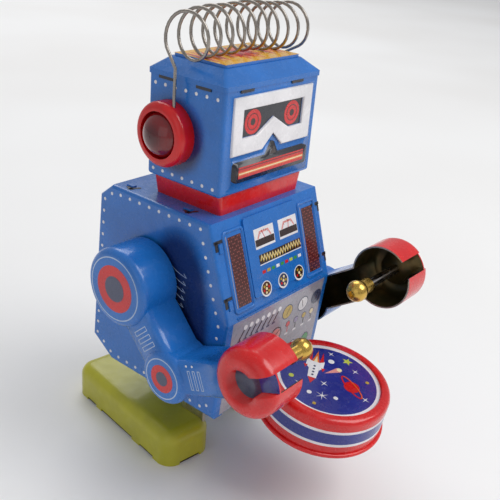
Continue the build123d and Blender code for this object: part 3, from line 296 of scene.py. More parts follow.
def drum_litho(colours):
    """Drum pan: navy head, white line, red rim, and a navy band between white lines round the side."""
    material, tree, shader, coords = start("litho_drum")
    turn = Matrix.Rotation(-DRUM_TILT, 3, "X")
    moved = add(tree, "ShaderNodeMapping",
                {"Vector": coords, "Rotation": (-DRUM_TILT, 0, 0),
                 "Location": -(turn @ place(0, DRUM_Y, DRUM_Z))})
    parts = add(tree, "ShaderNodeSeparateXYZ", {0: moved.outputs["Vector"]})
    flat = add(tree, "ShaderNodeCombineXYZ", {0: parts.outputs["X"], 1: parts.outputs["Y"]})
    reach = add(tree, "ShaderNodeVectorMath", {0: flat.outputs["Vector"]}, operation="LENGTH")
    red, white, navy = tuple(colours.red), linear("#F3EFF3"), linear("#27308E")
    head = DRUM_R - DRUM_RIM

    def stripes(value, low, high, stops):
        share = spread(tree, value, low * MM, high * MM, 0, 1, smooth=False)
        ramp = add(tree, "ShaderNodeValToRGB", {"Fac": share})
        ramp.color_ramp.interpolation = "CONSTANT"
        ramp.color_ramp.elements[0].color = stops[0][1]
        ramp.color_ramp.elements[1].position = (stops[1][0] - low) / (high - low)
        ramp.color_ramp.elements[1].color = stops[1][1]
        for at, tint in stops[2:]:
            ramp.color_ramp.elements.new((at - low) / (high - low)).color = tint
        return ramp.outputs["Color"]

    top = stripes(reach.outputs["Value"], 0, DRUM_R,
                  ((0, navy), (head - 0.75, white), (head + 0.15, red)))
    side = stripes(parts.outputs["Z"], -12, 0,
                   ((-12, red), (-8.0, white), (-7.2, navy), (-3.9, white), (-3.1, red)))
    outside = spread(tree, reach.outputs["Value"], (DRUM_R - 0.5) * MM, (DRUM_R - 0.45) * MM, 0, 1)
    varnish(tree, shader, coords, blend(tree, outside, top, side))
    return material


def metal(name, tint, roughness, brushed=(1, 1, 1), spots=0.1):
    """Bare metal with drawing or turning marks that run along the short side of brushed."""
    material, tree, shader, coords = start(name)
    along = add(tree, "ShaderNodeMapping", {"Vector": coords, "Scale": brushed}).outputs["Vector"]
    mark = grain(tree, along, 0.35, 3)
    stain = spread(tree, grain(tree, coords, 3, 4), 0.45, 0.8, 0, spots)
    base = blend(tree, stain, linear(tint), linear("#4A3B2C"))
    tree.links.new(base, shader.inputs["Base Color"])
    tree.links.new(spread(tree, mark, 0.3, 0.7, roughness - 0.06, roughness + 0.1),
                   shader.inputs["Roughness"])
    bump = add(tree, "ShaderNodeBump", {"Strength": 0.15, "Distance": 0.05 * MM, "Height": mark})
    tree.links.new(bump.outputs["Normal"], shader.inputs["Normal"])
    shader.inputs["Metallic"].default_value = 1.0
    return material


def gold_lacquer():
    """Inside of the tinplate: thin brown-gold lacquer over tin, so dark, warm and half metallic."""
    material, tree, shader, coords = start("gold_lacquer_inside")
    cloud = spread(tree, grain(tree, coords, 7, 4), 0.35, 0.7, 0, 1)
    base = blend(tree, cloud, linear("#3B3A22"), linear("#6A5630"))
    tree.links.new(base, shader.inputs["Base Color"])
    tree.links.new(spread(tree, grain(tree, coords, 1.5, 3), 0.3, 0.7, 0.28, 0.45),
                   shader.inputs["Roughness"])
    shader.inputs["Metallic"].default_value = 0.6
    return material


def moulded_red(colours):
    """Injection-moulded polystyrene: deep clear red, smooth, with faint flow marks."""
    material, tree, shader, coords = start("polystyrene_red_moulded")
    flow = spread(tree, grain(tree, coords, 5, 3), 0.35, 0.75, 0, 0.25)
    tree.links.new(blend(tree, flow, tuple(colours.plastic), linear("#7C0507")),
                   shader.inputs["Base Color"])
    tree.links.new(spread(tree, grain(tree, coords, 1.2, 3), 0.3, 0.7, 0.14, 0.24),
                   shader.inputs["Roughness"])
    shader.inputs["IOR"].default_value = 1.59
    shader.inputs["Subsurface Weight"].default_value = 0.08
    shader.inputs["Subsurface Radius"].default_value = (1.5 * MM, 0.3 * MM, 0.3 * MM)
    shader.inputs["Subsurface Scale"].default_value = 1.0
    return material


def ruby_lens():
    """Moulded transparent acrylic dome, ruby red, darker where it is thick."""
    material, tree, shader, coords = start("acrylic_ruby_lens")
    depth = spot(tree, coords, (0, EAR[0], EAR[1]), (90, 5.6, 5.6), 0.9)
    tree.links.new(blend(tree, spread(tree, depth, 0, 1, 0.25, 0.9), linear("#A3161B"), linear("#4A1A22")),
                   shader.inputs["Base Color"])
    tree.links.new(spread(tree, grain(tree, coords, 2, 3), 0.3, 0.7, 0.08, 0.16),
                   shader.inputs["Roughness"])
    shader.inputs["IOR"].default_value = 1.49
    shader.inputs["Transmission Weight"].default_value = 0.35
    shader.inputs["Coat Weight"].default_value = 0.5
    return material


def floor_paper():
    """Matt white paper sweep, almost even, with a faint soft tooth."""
    material, tree, shader, coords = start("paper_white_matt")
    tone = spread(tree, grain(tree, coords, 260, 2), 0.3, 0.7, 0, 1)
    tree.links.new(blend(tree, tone, linear("#EDECEA"), linear("#F3F3F2")), shader.inputs["Base Color"])
    tree.links.new(spread(tree, grain(tree, coords, 3, 2), 0.3, 0.7, 0.55, 0.65),
                   shader.inputs["Roughness"])
    return material


INKS = {
    "white": "#F4F2F4", "pale": "#B9CDE8", "red": "#D8191B", "orange": "#F0762A", "cream": "#FBE9B8",
    "black": "#20202A", "slate": "#454A66", "navy": "#27308E", "yellow": "#F6B81C", "gold": "#C9A93A",
    "lime": "#C8D24A", "grey": "#A6A3AE", "lilac": "#9C8FB4", "brown": "#4E1D19", "umber": "#33201C",
    "green": "#3E9A4A", "clay": "#A05850", "rose": "#E89A94",
}
made = {}


def finish(name):
    """A finish of the robot by name; an ink is made when it is first asked for."""
    if name not in made:
        made[name] = litho("ink_" + name, INKS[name])
    return made[name]


def make_finishes():
    """Every finish that is more than one ink."""
    colours = bpy.context.scene.robot_colours
    made["blue_tin"] = litho("litho_blue", colours.blue)
    made["red_tin"] = litho("litho_red", colours.red)
    made["yellow_tin"] = litho("litho_yellow_green", colours.yellow, roughness=0.34)
    made["torso_side"] = torso_side_litho_with_painted_shade(colours)
    made["head"] = head_litho_with_painted_shade(colours)
    made["drum"] = drum_litho(colours)
    made["spring"] = metal("spring_steel_wire", "#A39C94", 0.26, spots=0.15)
    made["rod"] = metal("bright_drawn_steel", "#B8B4B2", 0.2, (0.1, 1, 1), spots=0.12)
    made["brass"] = metal("turned_brass", colours_hex(colours.brass), 0.22, (3, 1, 1), spots=0.25)
    made["steel"] = metal("pressed_steel", "#8E8C8A", 0.34, spots=0.2)
    made["bare_tin"] = metal("bare_tinplate_edge", "#CFCBB8", 0.32, spots=0.25)
    made["gear_brass"] = metal("stamped_brass", "#B8924A", 0.3, spots=0.3)
    made["blackened"] = metal("blackened_steel", "#3A3532", 0.42, spots=0.3)
    made["lacquer"] = gold_lacquer()
    made["ear"] = moulded_red(colours)
    made["lens"] = ruby_lens()


def colours_hex(value):
    """Linear RGB back to an sRGB hex value."""
    parts = [c * 12.92 if c <= 0.0031308 else 1.055 * c ** (1 / 2.4) - 0.055 for c in tuple(value)[:3]]
    return "#" + "".join(f"{round(255 * c):02X}" for c in parts)


# ------------------------------------------------------------------ mesh helpers
def keep(name, bm, body, finishes, smooth=False):
    """Turns a bmesh into a piece of the robot."""
    mesh = bpy.data.meshes.new(name)
    bm.to_mesh(mesh)
    bm.free()
    for item in finishes:
        mesh.materials.append(finish(item))
    for face in mesh.polygons:
        face.use_smooth = smooth
    piece = bpy.data.objects.new(name, mesh)
    bpy.context.scene.collection.objects.link(piece)
    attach(piece, body)
    return piece


def circle(x, y, radius, points=40):
    """Points round a circle."""
    return [(x + radius * math.cos(2 * math.pi * i / points), y + radius * math.sin(2 * math.pi * i / points))
            for i in range(points)]


def box(x0, y0, x1, y1):
    """Corners of a rectangle."""
    return [(x0, y0), (x1, y0), (x1, y1), (x0, y1)]


def star(x, y, outer, inner, tips, turn=0.0):
    """Outline of a star with so many tips."""
    radii = (outer, inner)
    return [(x + radii[i % 2] * math.sin(turn + math.pi * i / tips),
             y + radii[i % 2] * math.cos(turn + math.pi * i / tips)) for i in range(2 * tips)]


def turned(points, centre, angle):
    """Points turned about a centre."""
    c, s = math.cos(angle), math.sin(angle)
    return [(centre[0] + (x - centre[0]) * c - (y - centre[1]) * s,
             centre[1] + (x - centre[0]) * s + (y - centre[1]) * c) for x, y in points]


def moved(points, dx, dy):
    """Points moved by dx and dy."""
    return [(x + dx, y + dy) for x, y in points]


class Print:
    """A litho print on one panel: closed patches of ink, one layer over another."""

    def __init__(self, lay):
        self.lay = lay              # turns (across, up, height) in millimetres into a place
        self.bm = bmesh.new()
        self.inks = []

    def slab(self, tops, bottoms, ink, quads):
        """Closes a patch between its top and bottom points."""
        if ink not in self.inks:
            self.inks.append(ink)
        index = self.inks.index(ink)
        edges = {}
        faces = []
        for loop in quads:
            faces.append(self.bm.faces.new([tops[i] for i in loop]))
            faces.append(self.bm.faces.new([bottoms[i] for i in reversed(loop)]))
            for a, b in zip(loop, loop[1:] + loop[:1]):
                if (b, a) in edges:
                    edges.pop((b, a))
                else:
                    edges[(a, b)] = True
        for a, b in edges:
            faces.append(self.bm.faces.new((tops[b], tops[a], bottoms[a], bottoms[b])))
        for face in faces:
            face.material_index = index

    def points(self, flat, height):
        return [self.bm.verts.new(self.lay(x, y, height)) for x, y in flat]

    def fill(self, outline, ink, layer=1):
        """A filled outline."""
        self.slab(self.points(outline, INK * layer), self.points(outline, -INK), ink,
                  [list(range(len(outline)))])

    def line(self, path, width, ink, layer=1, closed=False):
        """A line of even width along a path."""
        count = len(path)
        left, right = [], []
        for i, (x, y) in enumerate(path):
            before = path[i - 1] if i or closed else path[i]
            after = path[(i + 1) % count] if i + 1 < count or closed else path[i]
            a = Vector((x - before[0], y - before[1]))
            b = Vector((after[0] - x, after[1] - y))
            a = a.normalized() if a.length else b.normalized()
            b = b.normalized() if b.length else a
            along = (a + b).normalized()
            wide = width / 2 / max(0.4, along.dot(a))
            left.append((x - along.y * wide, y + along.x * wide))
            right.append((x + along.y * wide, y - along.x * wide))
        flat = left + right
        steps = count if closed else count - 1
        quads = [[count + i, count + (i + 1) % count, (i + 1) % count, i] for i in range(steps)]
        self.slab(self.points(flat, INK * layer), self.points(flat, -INK), ink, quads)

    def done(self, name, body):
        """Makes the print a piece of the robot."""
        bmesh.ops.recalc_face_normals(self.bm, faces=self.bm.faces)
        return keep(name, self.bm, body, self.inks)


def plane(origin, across, up):
    """A panel's own coordinates: origin in the drawing frame, then two directions along it."""
    across, up = Vector(across).normalized(), Vector(up).normalized()
    out = across.cross(up)
    start_at = place(*origin)
    return lambda x, y, h: start_at + (across * x + up * y + out * h) * MM


def side_panel(x):
    """A panel across x; its own coordinates are the drawing's y and z, and ink stands outwards."""
    sign = 1 if x > 0 else -1
    return lambda y, z, h: place(x + sign * h, y, z)


def node_copy(node, name):
    """A welded copy of a CAD node's mesh, as a bmesh."""
    bm = bmesh.new()
    bm.from_mesh(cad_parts[node].data)
    bmesh.ops.remove_doubles(bm, verts=bm.verts, dist=0.002 * MM)
    bm.normal_update()
    return bm


def edge_smooth(piece, degrees=32):
    """Smooth shading with crisp edges where the faces meet at more than an angle."""
    for face in piece.data.polygons:
        face.use_smooth = True
    piece.data.set_sharp_from_angle(angle=math.radians(degrees))


# ------------------------------------------------------------------ geometry nodes
def new_tree(name, sockets):
    """A geometry node tree with named inputs, and its group input and output."""
    tree = bpy.data.node_groups.new(name, "GeometryNodeTree")
    tree.interface.new_socket("Geometry", in_out="INPUT", socket_type="NodeSocketGeometry")
    tree.interface.new_socket("Geometry", in_out="OUTPUT", socket_type="NodeSocketGeometry")
    for label, kind in sockets:
        tree.interface.new_socket(label, in_out="INPUT", socket_type="NodeSocket" + kind)
    return tree, add(tree, "NodeGroupInput").outputs, add(tree, "NodeGroupOutput")


def end_tree(tree, geometry, group_in, group_out):
    """Realize Instances and Set Material, which every tree ends in."""
    real = add(tree, "GeometryNodeRealizeInstances", {"Geometry": geometry})
    painted = add(tree, "GeometryNodeSetMaterial",
                  {"Geometry": real.outputs["Geometry"], "Material": group_in["Material"]})
    tree.links.new(painted.outputs["Geometry"], group_out.inputs["Geometry"])
    return tree


def rivet_tree():
    """Domed dots at an even step along every line of the input."""
    tree, source, out = new_tree("rivet_dots", (("Step", "Float"), ("Radius", "Float"),
                                                ("Flatten", "Vector"), ("Material", "Material")))
    line = add(tree, "GeometryNodeMeshToCurve", {"Mesh": source["Geometry"]})
    even = add(tree, "GeometryNodeResampleCurve", {"Curve": line.outputs["Curve"], "Length": source["Step"]},
               mode="LENGTH")
    dome = add(tree, "GeometryNodeMeshUVSphere", {"Segments": 12, "Rings": 8, "Radius": source["Radius"]})
    dots = add(tree, "GeometryNodeInstanceOnPoints",
               {"Points": even.outputs["Curve"], "Instance": dome.outputs["Mesh"], "Scale": source["Flatten"]})
    smooth = add(tree, "GeometryNodeSetShadeSmooth", {"Geometry": dots.outputs["Instances"]})
    return end_tree(tree, smooth.outputs["Geometry"], source, out)


def grille_tree():
    """A staggered field of small round holes, drawn as discs in the given material."""
    tree, source, out = new_tree("grille_holes", (("Width", "Float"), ("Height", "Float"), ("Step", "Float"),
                                                  ("Radius", "Float"), ("Material", "Material")))
    disc = add(tree, "GeometryNodeMeshCylinder", {"Vertices": 6, "Radius": source["Radius"],
                                                  "Depth": 2 * INK * MM})
    across = add(tree, "ShaderNodeMath", {0: source["Width"], 1: source["Step"]}, operation="DIVIDE")
    down = add(tree, "ShaderNodeMath", {0: source["Height"], 1: source["Step"]}, operation="DIVIDE")
    grid = add(tree, "GeometryNodeMeshGrid", {"Size X": source["Width"], "Size Y": source["Height"],
                                              "Vertices X": across.outputs[0], "Vertices Y": down.outputs[0]})
    index = add(tree, "GeometryNodeInputIndex")
    row = add(tree, "ShaderNodeMath", {0: index.outputs["Index"], 1: 2.0}, operation="MODULO")
    shift = add(tree, "ShaderNodeMath", {0: row.outputs[0], 1: source["Step"]}, operation="MULTIPLY")
    half = add(tree, "ShaderNodeMath", {0: shift.outputs[0], 1: 0.5}, operation="MULTIPLY")
    offset = add(tree, "ShaderNodeCombineXYZ", {0: half.outputs[0]})
    stagger = add(tree, "GeometryNodeSetPosition", {"Geometry": grid.outputs["Mesh"],
                                                    "Offset": offset.outputs["Vector"]})
    holes = add(tree, "GeometryNodeInstanceOnPoints", {"Points": stagger.outputs["Geometry"],
                                                       "Instance": disc.outputs["Mesh"]})
    return end_tree(tree, holes.outputs["Instances"], source, out)


def wire_tree():
    """Round wire swept along the input line, with closed ends."""
    tree, source, out = new_tree("spring_wire", (("Radius", "Float"), ("Material", "Material")))
    line = add(tree, "GeometryNodeMeshToCurve", {"Mesh": source["Geometry"]})
    section = add(tree, "GeometryNodeCurvePrimitiveCircle", {"Resolution": 12, "Radius": source["Radius"]})
    wire = add(tree, "GeometryNodeCurveToMesh", {"Curve": line.outputs["Curve"],
                                                 "Profile Curve": section.outputs["Curve"],
                                                 "Fill Caps": True})
    smooth = add(tree, "GeometryNodeSetShadeSmooth", {"Geometry": wire.outputs["Mesh"]})
    return end_tree(tree, smooth.outputs["Geometry"], source, out)


def tab_tree():
    """One tab, or the gap beside it, at every point of the input, turned by the point's own angles."""
    tree, source, out = new_tree("folded_tabs", (("Tab", "Object"), ("Material", "Material")))
    angles = add(tree, "GeometryNodeInputNamedAttribute", {"Name": "turn"}, data_type="FLOAT_VECTOR")
    shape = add(tree, "GeometryNodeObjectInfo", {"Object": source["Tab"]})
    tabs = add(tree, "GeometryNodeInstanceOnPoints",
               {"Points": source["Geometry"], "Instance": shape.outputs["Geometry"],
                "Rotation": angles.outputs["Attribute"]})
    return end_tree(tree, tabs.outputs["Instances"], source, out)


def grow(name, mesh, tree, values, body):
    """Runs a node tree on a mesh and keeps the result as a plain mesh piece."""
    source = bpy.data.objects.new(name + "_source", mesh)
    bpy.context.scene.collection.objects.link(source)
    modifier = source.modifiers.new("rule", "NODES")
    modifier.node_group = tree
    sockets = {item.name: item.identifier for item in tree.interface.items_tree
               if item.in_out == "INPUT"}
    for label, value in values.items():
        modifier[sockets[label]] = value
    ready = source.evaluated_get(bpy.context.evaluated_depsgraph_get())
    result = bpy.data.meshes.new_from_object(ready)
    result.name = name
    source.modifiers.remove(modifier)
    bpy.data.objects.remove(source)
    if not result.polygons:
        raise RuntimeError(name + " came out empty")
    piece = bpy.data.objects.new(name, result)
    bpy.context.scene.collection.objects.link(piece)
    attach(piece, body)
    return piece


def line_mesh(paths, closed=False):
    """A mesh of lines through points in metres."""
    mesh = bpy.data.meshes.new("lines")
    points, edges = [], []
    for path in paths:
        first = len(points)
        points += path
        edges += [(first + i, first + i + 1) for i in range(len(path) - 1)]
        if closed:
            edges.append((first + len(path) - 1, first))
    mesh.from_pydata(points, edges, [])
    return mesh


# ------------------------------------------------------------------ pieces
CAD_FINISHES = {
    "torso_side": ("torso_side_right", "torso_side_left"),
    "blue_tin": ("torso_front", "torso_back", "torso_base", "head_cap"),
    "head": ("head_shell",),
    "red_tin": ("neck_collar", "drum_base"),
    "drum": ("drum_shell",),
    "ear": ("ear_right", "ear_left"),
    "lens": ("ear_lens_right", "ear_lens_left"),
    "yellow_tin": ("shoe_right", "shoe_left"),
    "blackened": ("sole_right", "sole_left", "drum_bracket"),
    "rod": ("stick_rod_right", "stick_rod_left"),
    "brass": ("stick_ball_right", "stick_ball_left"),
    "bare_tin": ("motor_plate_right", "motor_plate_left", "leg_right", "leg_left"),
    "spring": ("mainspring",),
    "steel": ("drum_rivet", "motor_pillars", "winding_key", "key_arbor", "second_shaft", "crank_axle",
              "governor_shaft", "arm_shaft_right", "arm_shaft_left", "arm_lever_right", "arm_lever_left",
              "crank_disc_right", "crank_disc_left", "governor_flywheel"),
    "gear_brass": ("great_wheel", "second_pinion", "second_wheel", "crank_pinion", "crank_wheel",
                   "governor_pinion"),
}


class ROBOT_OT_finishes(bpy.types.Operator):
    """Give every CAD part its real finish"""
    bl_idname = "robot.finishes"
    bl_label = "Finishes"

    def execute(self, context):
        make_finishes()
        for name, nodes in CAD_FINISHES.items():
            for node in nodes:
                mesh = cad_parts[node].data
                mesh.materials.clear()
                mesh.materials.append(finish(name))
        return {"FINISHED"}


def arm_point(side, y, z):
    """A point drawn on the right arm, moved to the side asked for: the left arm stands higher."""
    if side == RIGHT:
        return y, z
    c, s = math.cos(-LEFT_RAISE), math.sin(-LEFT_RAISE)
    y, z = y - SHOULDER[0], z - SHOULDER[1]
    return SHOULDER[0] + y * c - z * s, SHOULDER[1] + y * s + z * c


FOREARM = math.atan2(HAND[1] - ELBOW[1], HAND[0] - ELBOW[0])


def claw_place(side, centre, normal):
    """Which finish a face of the arm's tin takes, from its place on the claw."""
    y, z = centre.y / MM - SHIFT - SHOULDER[0], centre.z / MM - SHOULDER[1]
    if side == LEFT:
        c, s = math.cos(LEFT_RAISE), math.sin(LEFT_RAISE)
        y, z = y * c - z * s, y * s + z * c
    y, z = y + SHOULDER[0] - HAND[0], z + SHOULDER[1] - HAND[1]
    along = y * math.cos(FOREARM) + z * math.sin(FOREARM)
    beside = -y * math.sin(FOREARM) + z * math.cos(FOREARM)
    reach = math.hypot(y, z)
    if along < -HAND_R * 0.86 or reach > HAND_R + 0.4:
        return "blue"
    if abs(normal.x) > 0.7 and abs(centre.x) / MM < CLAW_OUT - SLOT_DEPTH + 0.3:
        return "palm" if reach < PALM_R + 0.1 else "channel"
    return "red"


class ROBOT_OT_arms(bpy.types.Operator):
    """Arms: blue tin with red claws, lacquered inside, bare along the cut rim"""
    bl_idname = "robot.arms"
    bl_label = "Arms"

    def execute(self, context):
        finishes = ["blue_tin", "red_tin", "slate", "navy", "lacquer", "bare_tin"]
        for name, side in SIDES:
            node = "arm_shell_" + name
            bm = node_copy(node, name)
            tree = BVHTree.FromBMesh(bm)
            outwards = Vector((side, 0, 0))
            for face in bm.faces:
                centre = face.calc_center_median()
                hit = tree.ray_cast(centre + face.normal * 0.03 * MM + outwards * 0.001 * MM, outwards)[0]
                through = tree.ray_cast(centre - face.normal * 0.02 * MM, -face.normal)[3] or 0
                if face.normal.x * side < -0.8 and through > 0.7 * MM:
                    face.material_index = 5
                elif hit is not None:
                    face.material_index = 4
                else:
                    place_name = claw_place(side, centre, face.normal)
                    face.material_index = ("blue", "red", "palm", "channel").index(place_name)
            piece = keep("arm_tin_" + name, bm, name + "_arm", finishes)
            edge_smooth(piece)
            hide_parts(node)
        return {"FINISHED"}


def target(art, centre, outer, ring, inner, core):
    """Round print of an arm joint: pale outline, red ring, slate core."""
    art.line(circle(*centre, outer, 64), 0.28, "pale", closed=True)
    art.fill(circle(*centre, ring, 48), "red", 1)
    art.fill(circle(*centre, inner, 40), "slate", 2)
    if core:
        art.line(circle(*centre, core, 36), 0.18, "red", 3, closed=True)


class ROBOT_OT_arm_prints(bpy.types.Operator):
    """Prints on the arms: targets on shoulder and elbow, vents and lines between them"""
    bl_idname = "robot.arm_prints"
    bl_label = "Arm prints"

    def execute(self, context):
        upper = math.atan2(ELBOW[1] - SHOULDER[1], ELBOW[0] - SHOULDER[0])
        for name, side in SIDES:
            def on(depth):
                def lay(y, z, h, side=side):
                    along = (y - ELBOW[0]) * math.cos(FOREARM) + (z - ELBOW[1]) * math.sin(FOREARM)
                    share = min(1, max(0, (along - FORE_START) / (FORE_END - FORE_START)))
                    lean = FORE_LEAN * share if depth == BAR_OUT and along > 0 else 0
                    y, z = arm_point(side, y, z)
                    return place(side * (depth + lean + h), y, z)
                return lay
            shoulder = Print(on(ARM_OUT))
            target(shoulder, SHOULDER, 8.3, 6.2, 3.4, 0)
            shoulder.done("shoulder_print_" + name, name + "_arm")
            elbow = Print(on(ELBOW_OUT))
            target(elbow, ELBOW, 5.3, 3.7, 1.9, 0)
            elbow.done("elbow_print_" + name, name + "_arm")
            bars = Print(on(BAR_OUT))
            for i in range(3):
                centre = (SHOULDER[0] + (12.2 + 2.1 * i) * math.cos(upper),
                          SHOULDER[1] + (12.2 + 2.1 * i) * math.sin(upper))
                vent = box(centre[0] - 0.55, centre[1] - 2.4, centre[0] + 0.55, centre[1] + 2.4)
                bars.line(turned(vent, centre, upper), 0.2, "pale", closed=True)
            for i in range(3):
                centre = (ELBOW[0] + (9.3 + 1.7 * i) * math.cos(FOREARM),
                          ELBOW[1] + (9.3 + 1.7 * i) * math.sin(FOREARM))
                tall = box(centre[0] - 0.35, centre[1] - 2.2, centre[0] + 0.35, centre[1] + 2.6)
                bars.line(turned(tall, centre, FOREARM), 0.18, "pale", closed=True)
            for along in (9.0, 11.0):
                dot = (ELBOW[0] + along * math.cos(FOREARM) + 3.4 * math.sin(FOREARM),
                       ELBOW[1] + along * math.sin(FOREARM) - 3.4 * math.cos(FOREARM))
                bars.fill(circle(*dot, 0.3, 16), "white")
            bars.done("arm_lines_" + name, name + "_arm")
        return {"FINISHED"}


def inset(outline, gaps):
    """The outline with each side, from its corner to the next, moved inwards by its own gap."""
    count = len(outline)
    moved_sides = []
    for i, gap in enumerate(gaps):
        a, b = Vector(outline[i]), Vector(outline[(i + 1) % count])
        along = (b - a).normalized()
        inwards = Vector((-along.y, along.x))
        moved_sides.append((a + inwards * gap, along))
    corners = []
    for i in range(count):
        (p, d), (q, e) = moved_sides[i - 1], moved_sides[i]
        share = ((q - p).x * e.y - (q - p).y * e.x) / (d.x * e.y - d.y * e.x)
        corners.append(tuple(p + d * share))
    return corners


class ROBOT_OT_rivets(bpy.types.Operator):
    """Rows of white rivet dots round the torso's sides and along the head"""
    bl_idname = "robot.rivets"
    bl_label = "Rivet dots"

    def execute(self, context):
        sizes = context.scene.robot_sizes
        tree = rivet_tree()
        rim = inset(TORSO_OUTLINE, (3.1, 2.8, 2.0, 2.0, 1.9, 1.9, 1.8))
        flat = (sizes.dot_height / sizes.dot, 1, 1)
        row = [HEAD_BACK - 2.2, HEAD_FRONT + 2.2]
        step = (row[0] - row[1]) / 6 * MM
        for name, side in SIDES:
            ring = [place(side * TORSO_HALF, y, z) for y, z in rim]
            values = {"Step": sizes.dot_step, "Radius": sizes.dot, "Flatten": flat,
                      "Material": finish("white")}
            grow("torso_rivets_" + name, line_mesh([ring], closed=True), tree, values, "torso")
            rows = [[place(side * HEAD_HALF, y, z) for y in row] for z in (HEAD_TOP - 2.0, HEAD_BOTTOM + 1.9)]
            values["Step"] = step * 0.999
            grow("head_rivets_" + name, line_mesh(rows), tree, values, "torso")
        return {"FINISHED"}


class ROBOT_OT_side_prints(bpy.types.Operator):
    """Thin curved gill lines on the torso's sides, in front of the shoulders"""
    bl_idname = "robot.side_prints"
    bl_label = "Side prints"

    def execute(self, context):
        for name, side in SIDES:
            art = Print(side_panel(side * TORSO_HALF))
            for i in range(7):
                z = 60.2 - 2.1 * i
                first, last = -4.0 - 0.4 * i, -10.4 + 0.15 * i
                path = [(first + (last - first) * t / 8, z - 0.3 * t - 0.5 * math.sin(math.pi * t / 8))
                        for t in range(9)]
                path.append((path[-1][0] + 0.9, path[-1][1] + 0.9))
                art.line(path, 0.15, "pale")
            art.done("gill_lines_" + name, "torso")
        return {"FINISHED"}


CHEST_UP = Vector((0, CHEST_TOP[0] - BELT[0], CHEST_TOP[1] - BELT[1]))
chest = plane((0, *CHEST_TOP), (1, 0, 0), CHEST_UP)        # its y is minus the distance down the slope
belly = plane((0, *BELT), (1, 0, 0), Vector((0, BELT[0] - BELLY_FOOT[0], BELT[1] - BELLY_FOOT[1])))
CHEST_RISE = 0.6                          # of the embossed instrument panel
GRILLES = ((-16.4, -11.5), (13.2, 18.0))  # left and right edge of each
GRILLE_ROWS = (-22.1, -4.4)


def meter(art, x0, x1, y0, y1, lean):
    """A needle meter: white scale over a dark foot, with a white line below."""
    split = y0 + (y1 - y0) * 0.46
    art.fill(box(x0, y0, x1, y1), "white")
    art.fill(box(x0 + 0.15, y0 + 0.6, x1 - 0.15, split), "umber", 2)
    middle_x = (x0 + x1) / 2
    art.fill([(x0 + 1.0, split + 0.1), (x1 - 1.0, split + 0.1), (x1 - 2.1, y1 - 0.8), (x0 + 2.1, y1 - 0.8)],
             "rose", 2)
    art.fill([(x0 + 1.5, split + 0.05), (x1 - 1.5, split + 0.05), (x1 - 2.4, y1 - 1.3), (x0 + 2.4, y1 - 1.3)],
             "white", 3)
    for i in range(5):
        angle = math.radians(50 - 25 * i)
        tick = [(middle_x + r * math.sin(angle), split + r * math.cos(angle)) for r in (1.75, 2.15)]
        art.line(tick, 0.1, "black", 4)
    art.line([(middle_x, split), (middle_x + lean, y1 - 0.7)], 0.16, "red", 5)


def dial(art, x, y, radius, face, marks, seed):
    """A round instrument: pale bezel, dark face and marks round it."""
    art.fill(circle(x, y, radius, 32), "white", 1)
    art.fill(circle(x, y + 0.12, radius - 0.35, 32), face, 2)
    for i in range(marks):
        angle = 2 * math.pi * i / marks + seed
        dot = (x + radius * 0.5 * math.cos(angle), y + radius * 0.5 * math.sin(angle))
        art.fill(circle(*dot, radius * 0.17, 12), ("red", "cream", "gold")[(i + int(seed)) % 3], 3)
    art.fill(circle(x, y, radius * 0.2, 12), "cream", 3)


class ROBOT_OT_chest(bpy.types.Operator):
    """Instruments of the chest: grilles in raised frames, meters, trace, lamps and dials"""
    bl_idname = "robot.chest"
    bl_label = "Chest"

    def execute(self, context):
        sizes = context.scene.robot_sizes
        panel = Print(lambda x, y, h: chest(x, y, h + CHEST_RISE))
        meter(panel, -7.5, 0.2, -9.9, -4.8, -0.9)
        meter(panel, 2.2, 9.8, -9.9, -4.8, 0.4)
        panel.fill(box(-6.9, -14.2, 10.2, -13.95), "white")
        panel.fill(box(-6.9, -13.9, 10.2, -11.5), "umber")
        trace = [(-6.5 + 0.55 * i, -12.7 + (0.85 if i % 2 else -0.8) * (0.45 + 0.55 * abs(math.sin(1.7 * i))))
                 for i in range(31)]
        panel.line(trace, 0.36, "gold", 2)
        panel.line(moved(trace, 0.1, 0.12), 0.16, "cream", 3)
        for i, ink in enumerate(("red", "gold", "green", "white", "green", "red", "lime", "green", "white")):
            panel.fill(box(-6.5 + 1.85 * i, -16.4, -5.2 + 1.85 * i, -15.6), ink)
        dial(panel, -6.0, -21.3 + 0.9, 2.05, "brown", 6, 0.3)
        dial(panel, 0.9, -21.3 + 0.9, 2.05, "slate", 5, 1.2)
        dial(panel, 7.7, -21.3 + 0.9, 2.05, "umber", 4, 2.1)
        panel.done("instrument_print", "torso")

        field = Print(chest)
        for x0, x1 in GRILLES:
            field.fill(box(x0, GRILLE_ROWS[0], x1, GRILLE_ROWS[1]), "brown")
            field.line([(x0 - 0.5, GRILLE_ROWS[0]), (x0 - 0.5, GRILLE_ROWS[1] + 0.4)], 0.22, "grey")
        field.done("grille_print", "torso")
        tree = grille_tree()
        for name, (x0, x1) in zip(("right", "left"), GRILLES):
            width, height = x1 - x0 - 0.9, GRILLE_ROWS[1] - GRILLE_ROWS[0] - 0.7
            values = {"Width": width * MM, "Height": height * MM, "Step": sizes.mesh_step,
                      "Radius": sizes.mesh_step * 0.26, "Material": finish("clay")}
            mesh = bpy.data.meshes.new("grille_seed")
            piece = grow("grille_mesh_" + name, mesh, tree, values, "torso")
            centre = ((x0 + x1) / 2 - 0.15, (GRILLE_ROWS[0] + GRILLE_ROWS[1]) / 2)
            origin = chest(*centre, INK)
            across = (chest(centre[0] + 1, centre[1], INK) - origin).normalized()
            up = (chest(centre[0], centre[1] + 1, INK) - origin).normalized()
            turn = Matrix((across, up, across.cross(up))).transposed().to_4x4()
            piece.data.transform(Matrix.Translation(origin) @ turn)
        return {"FINISHED"}


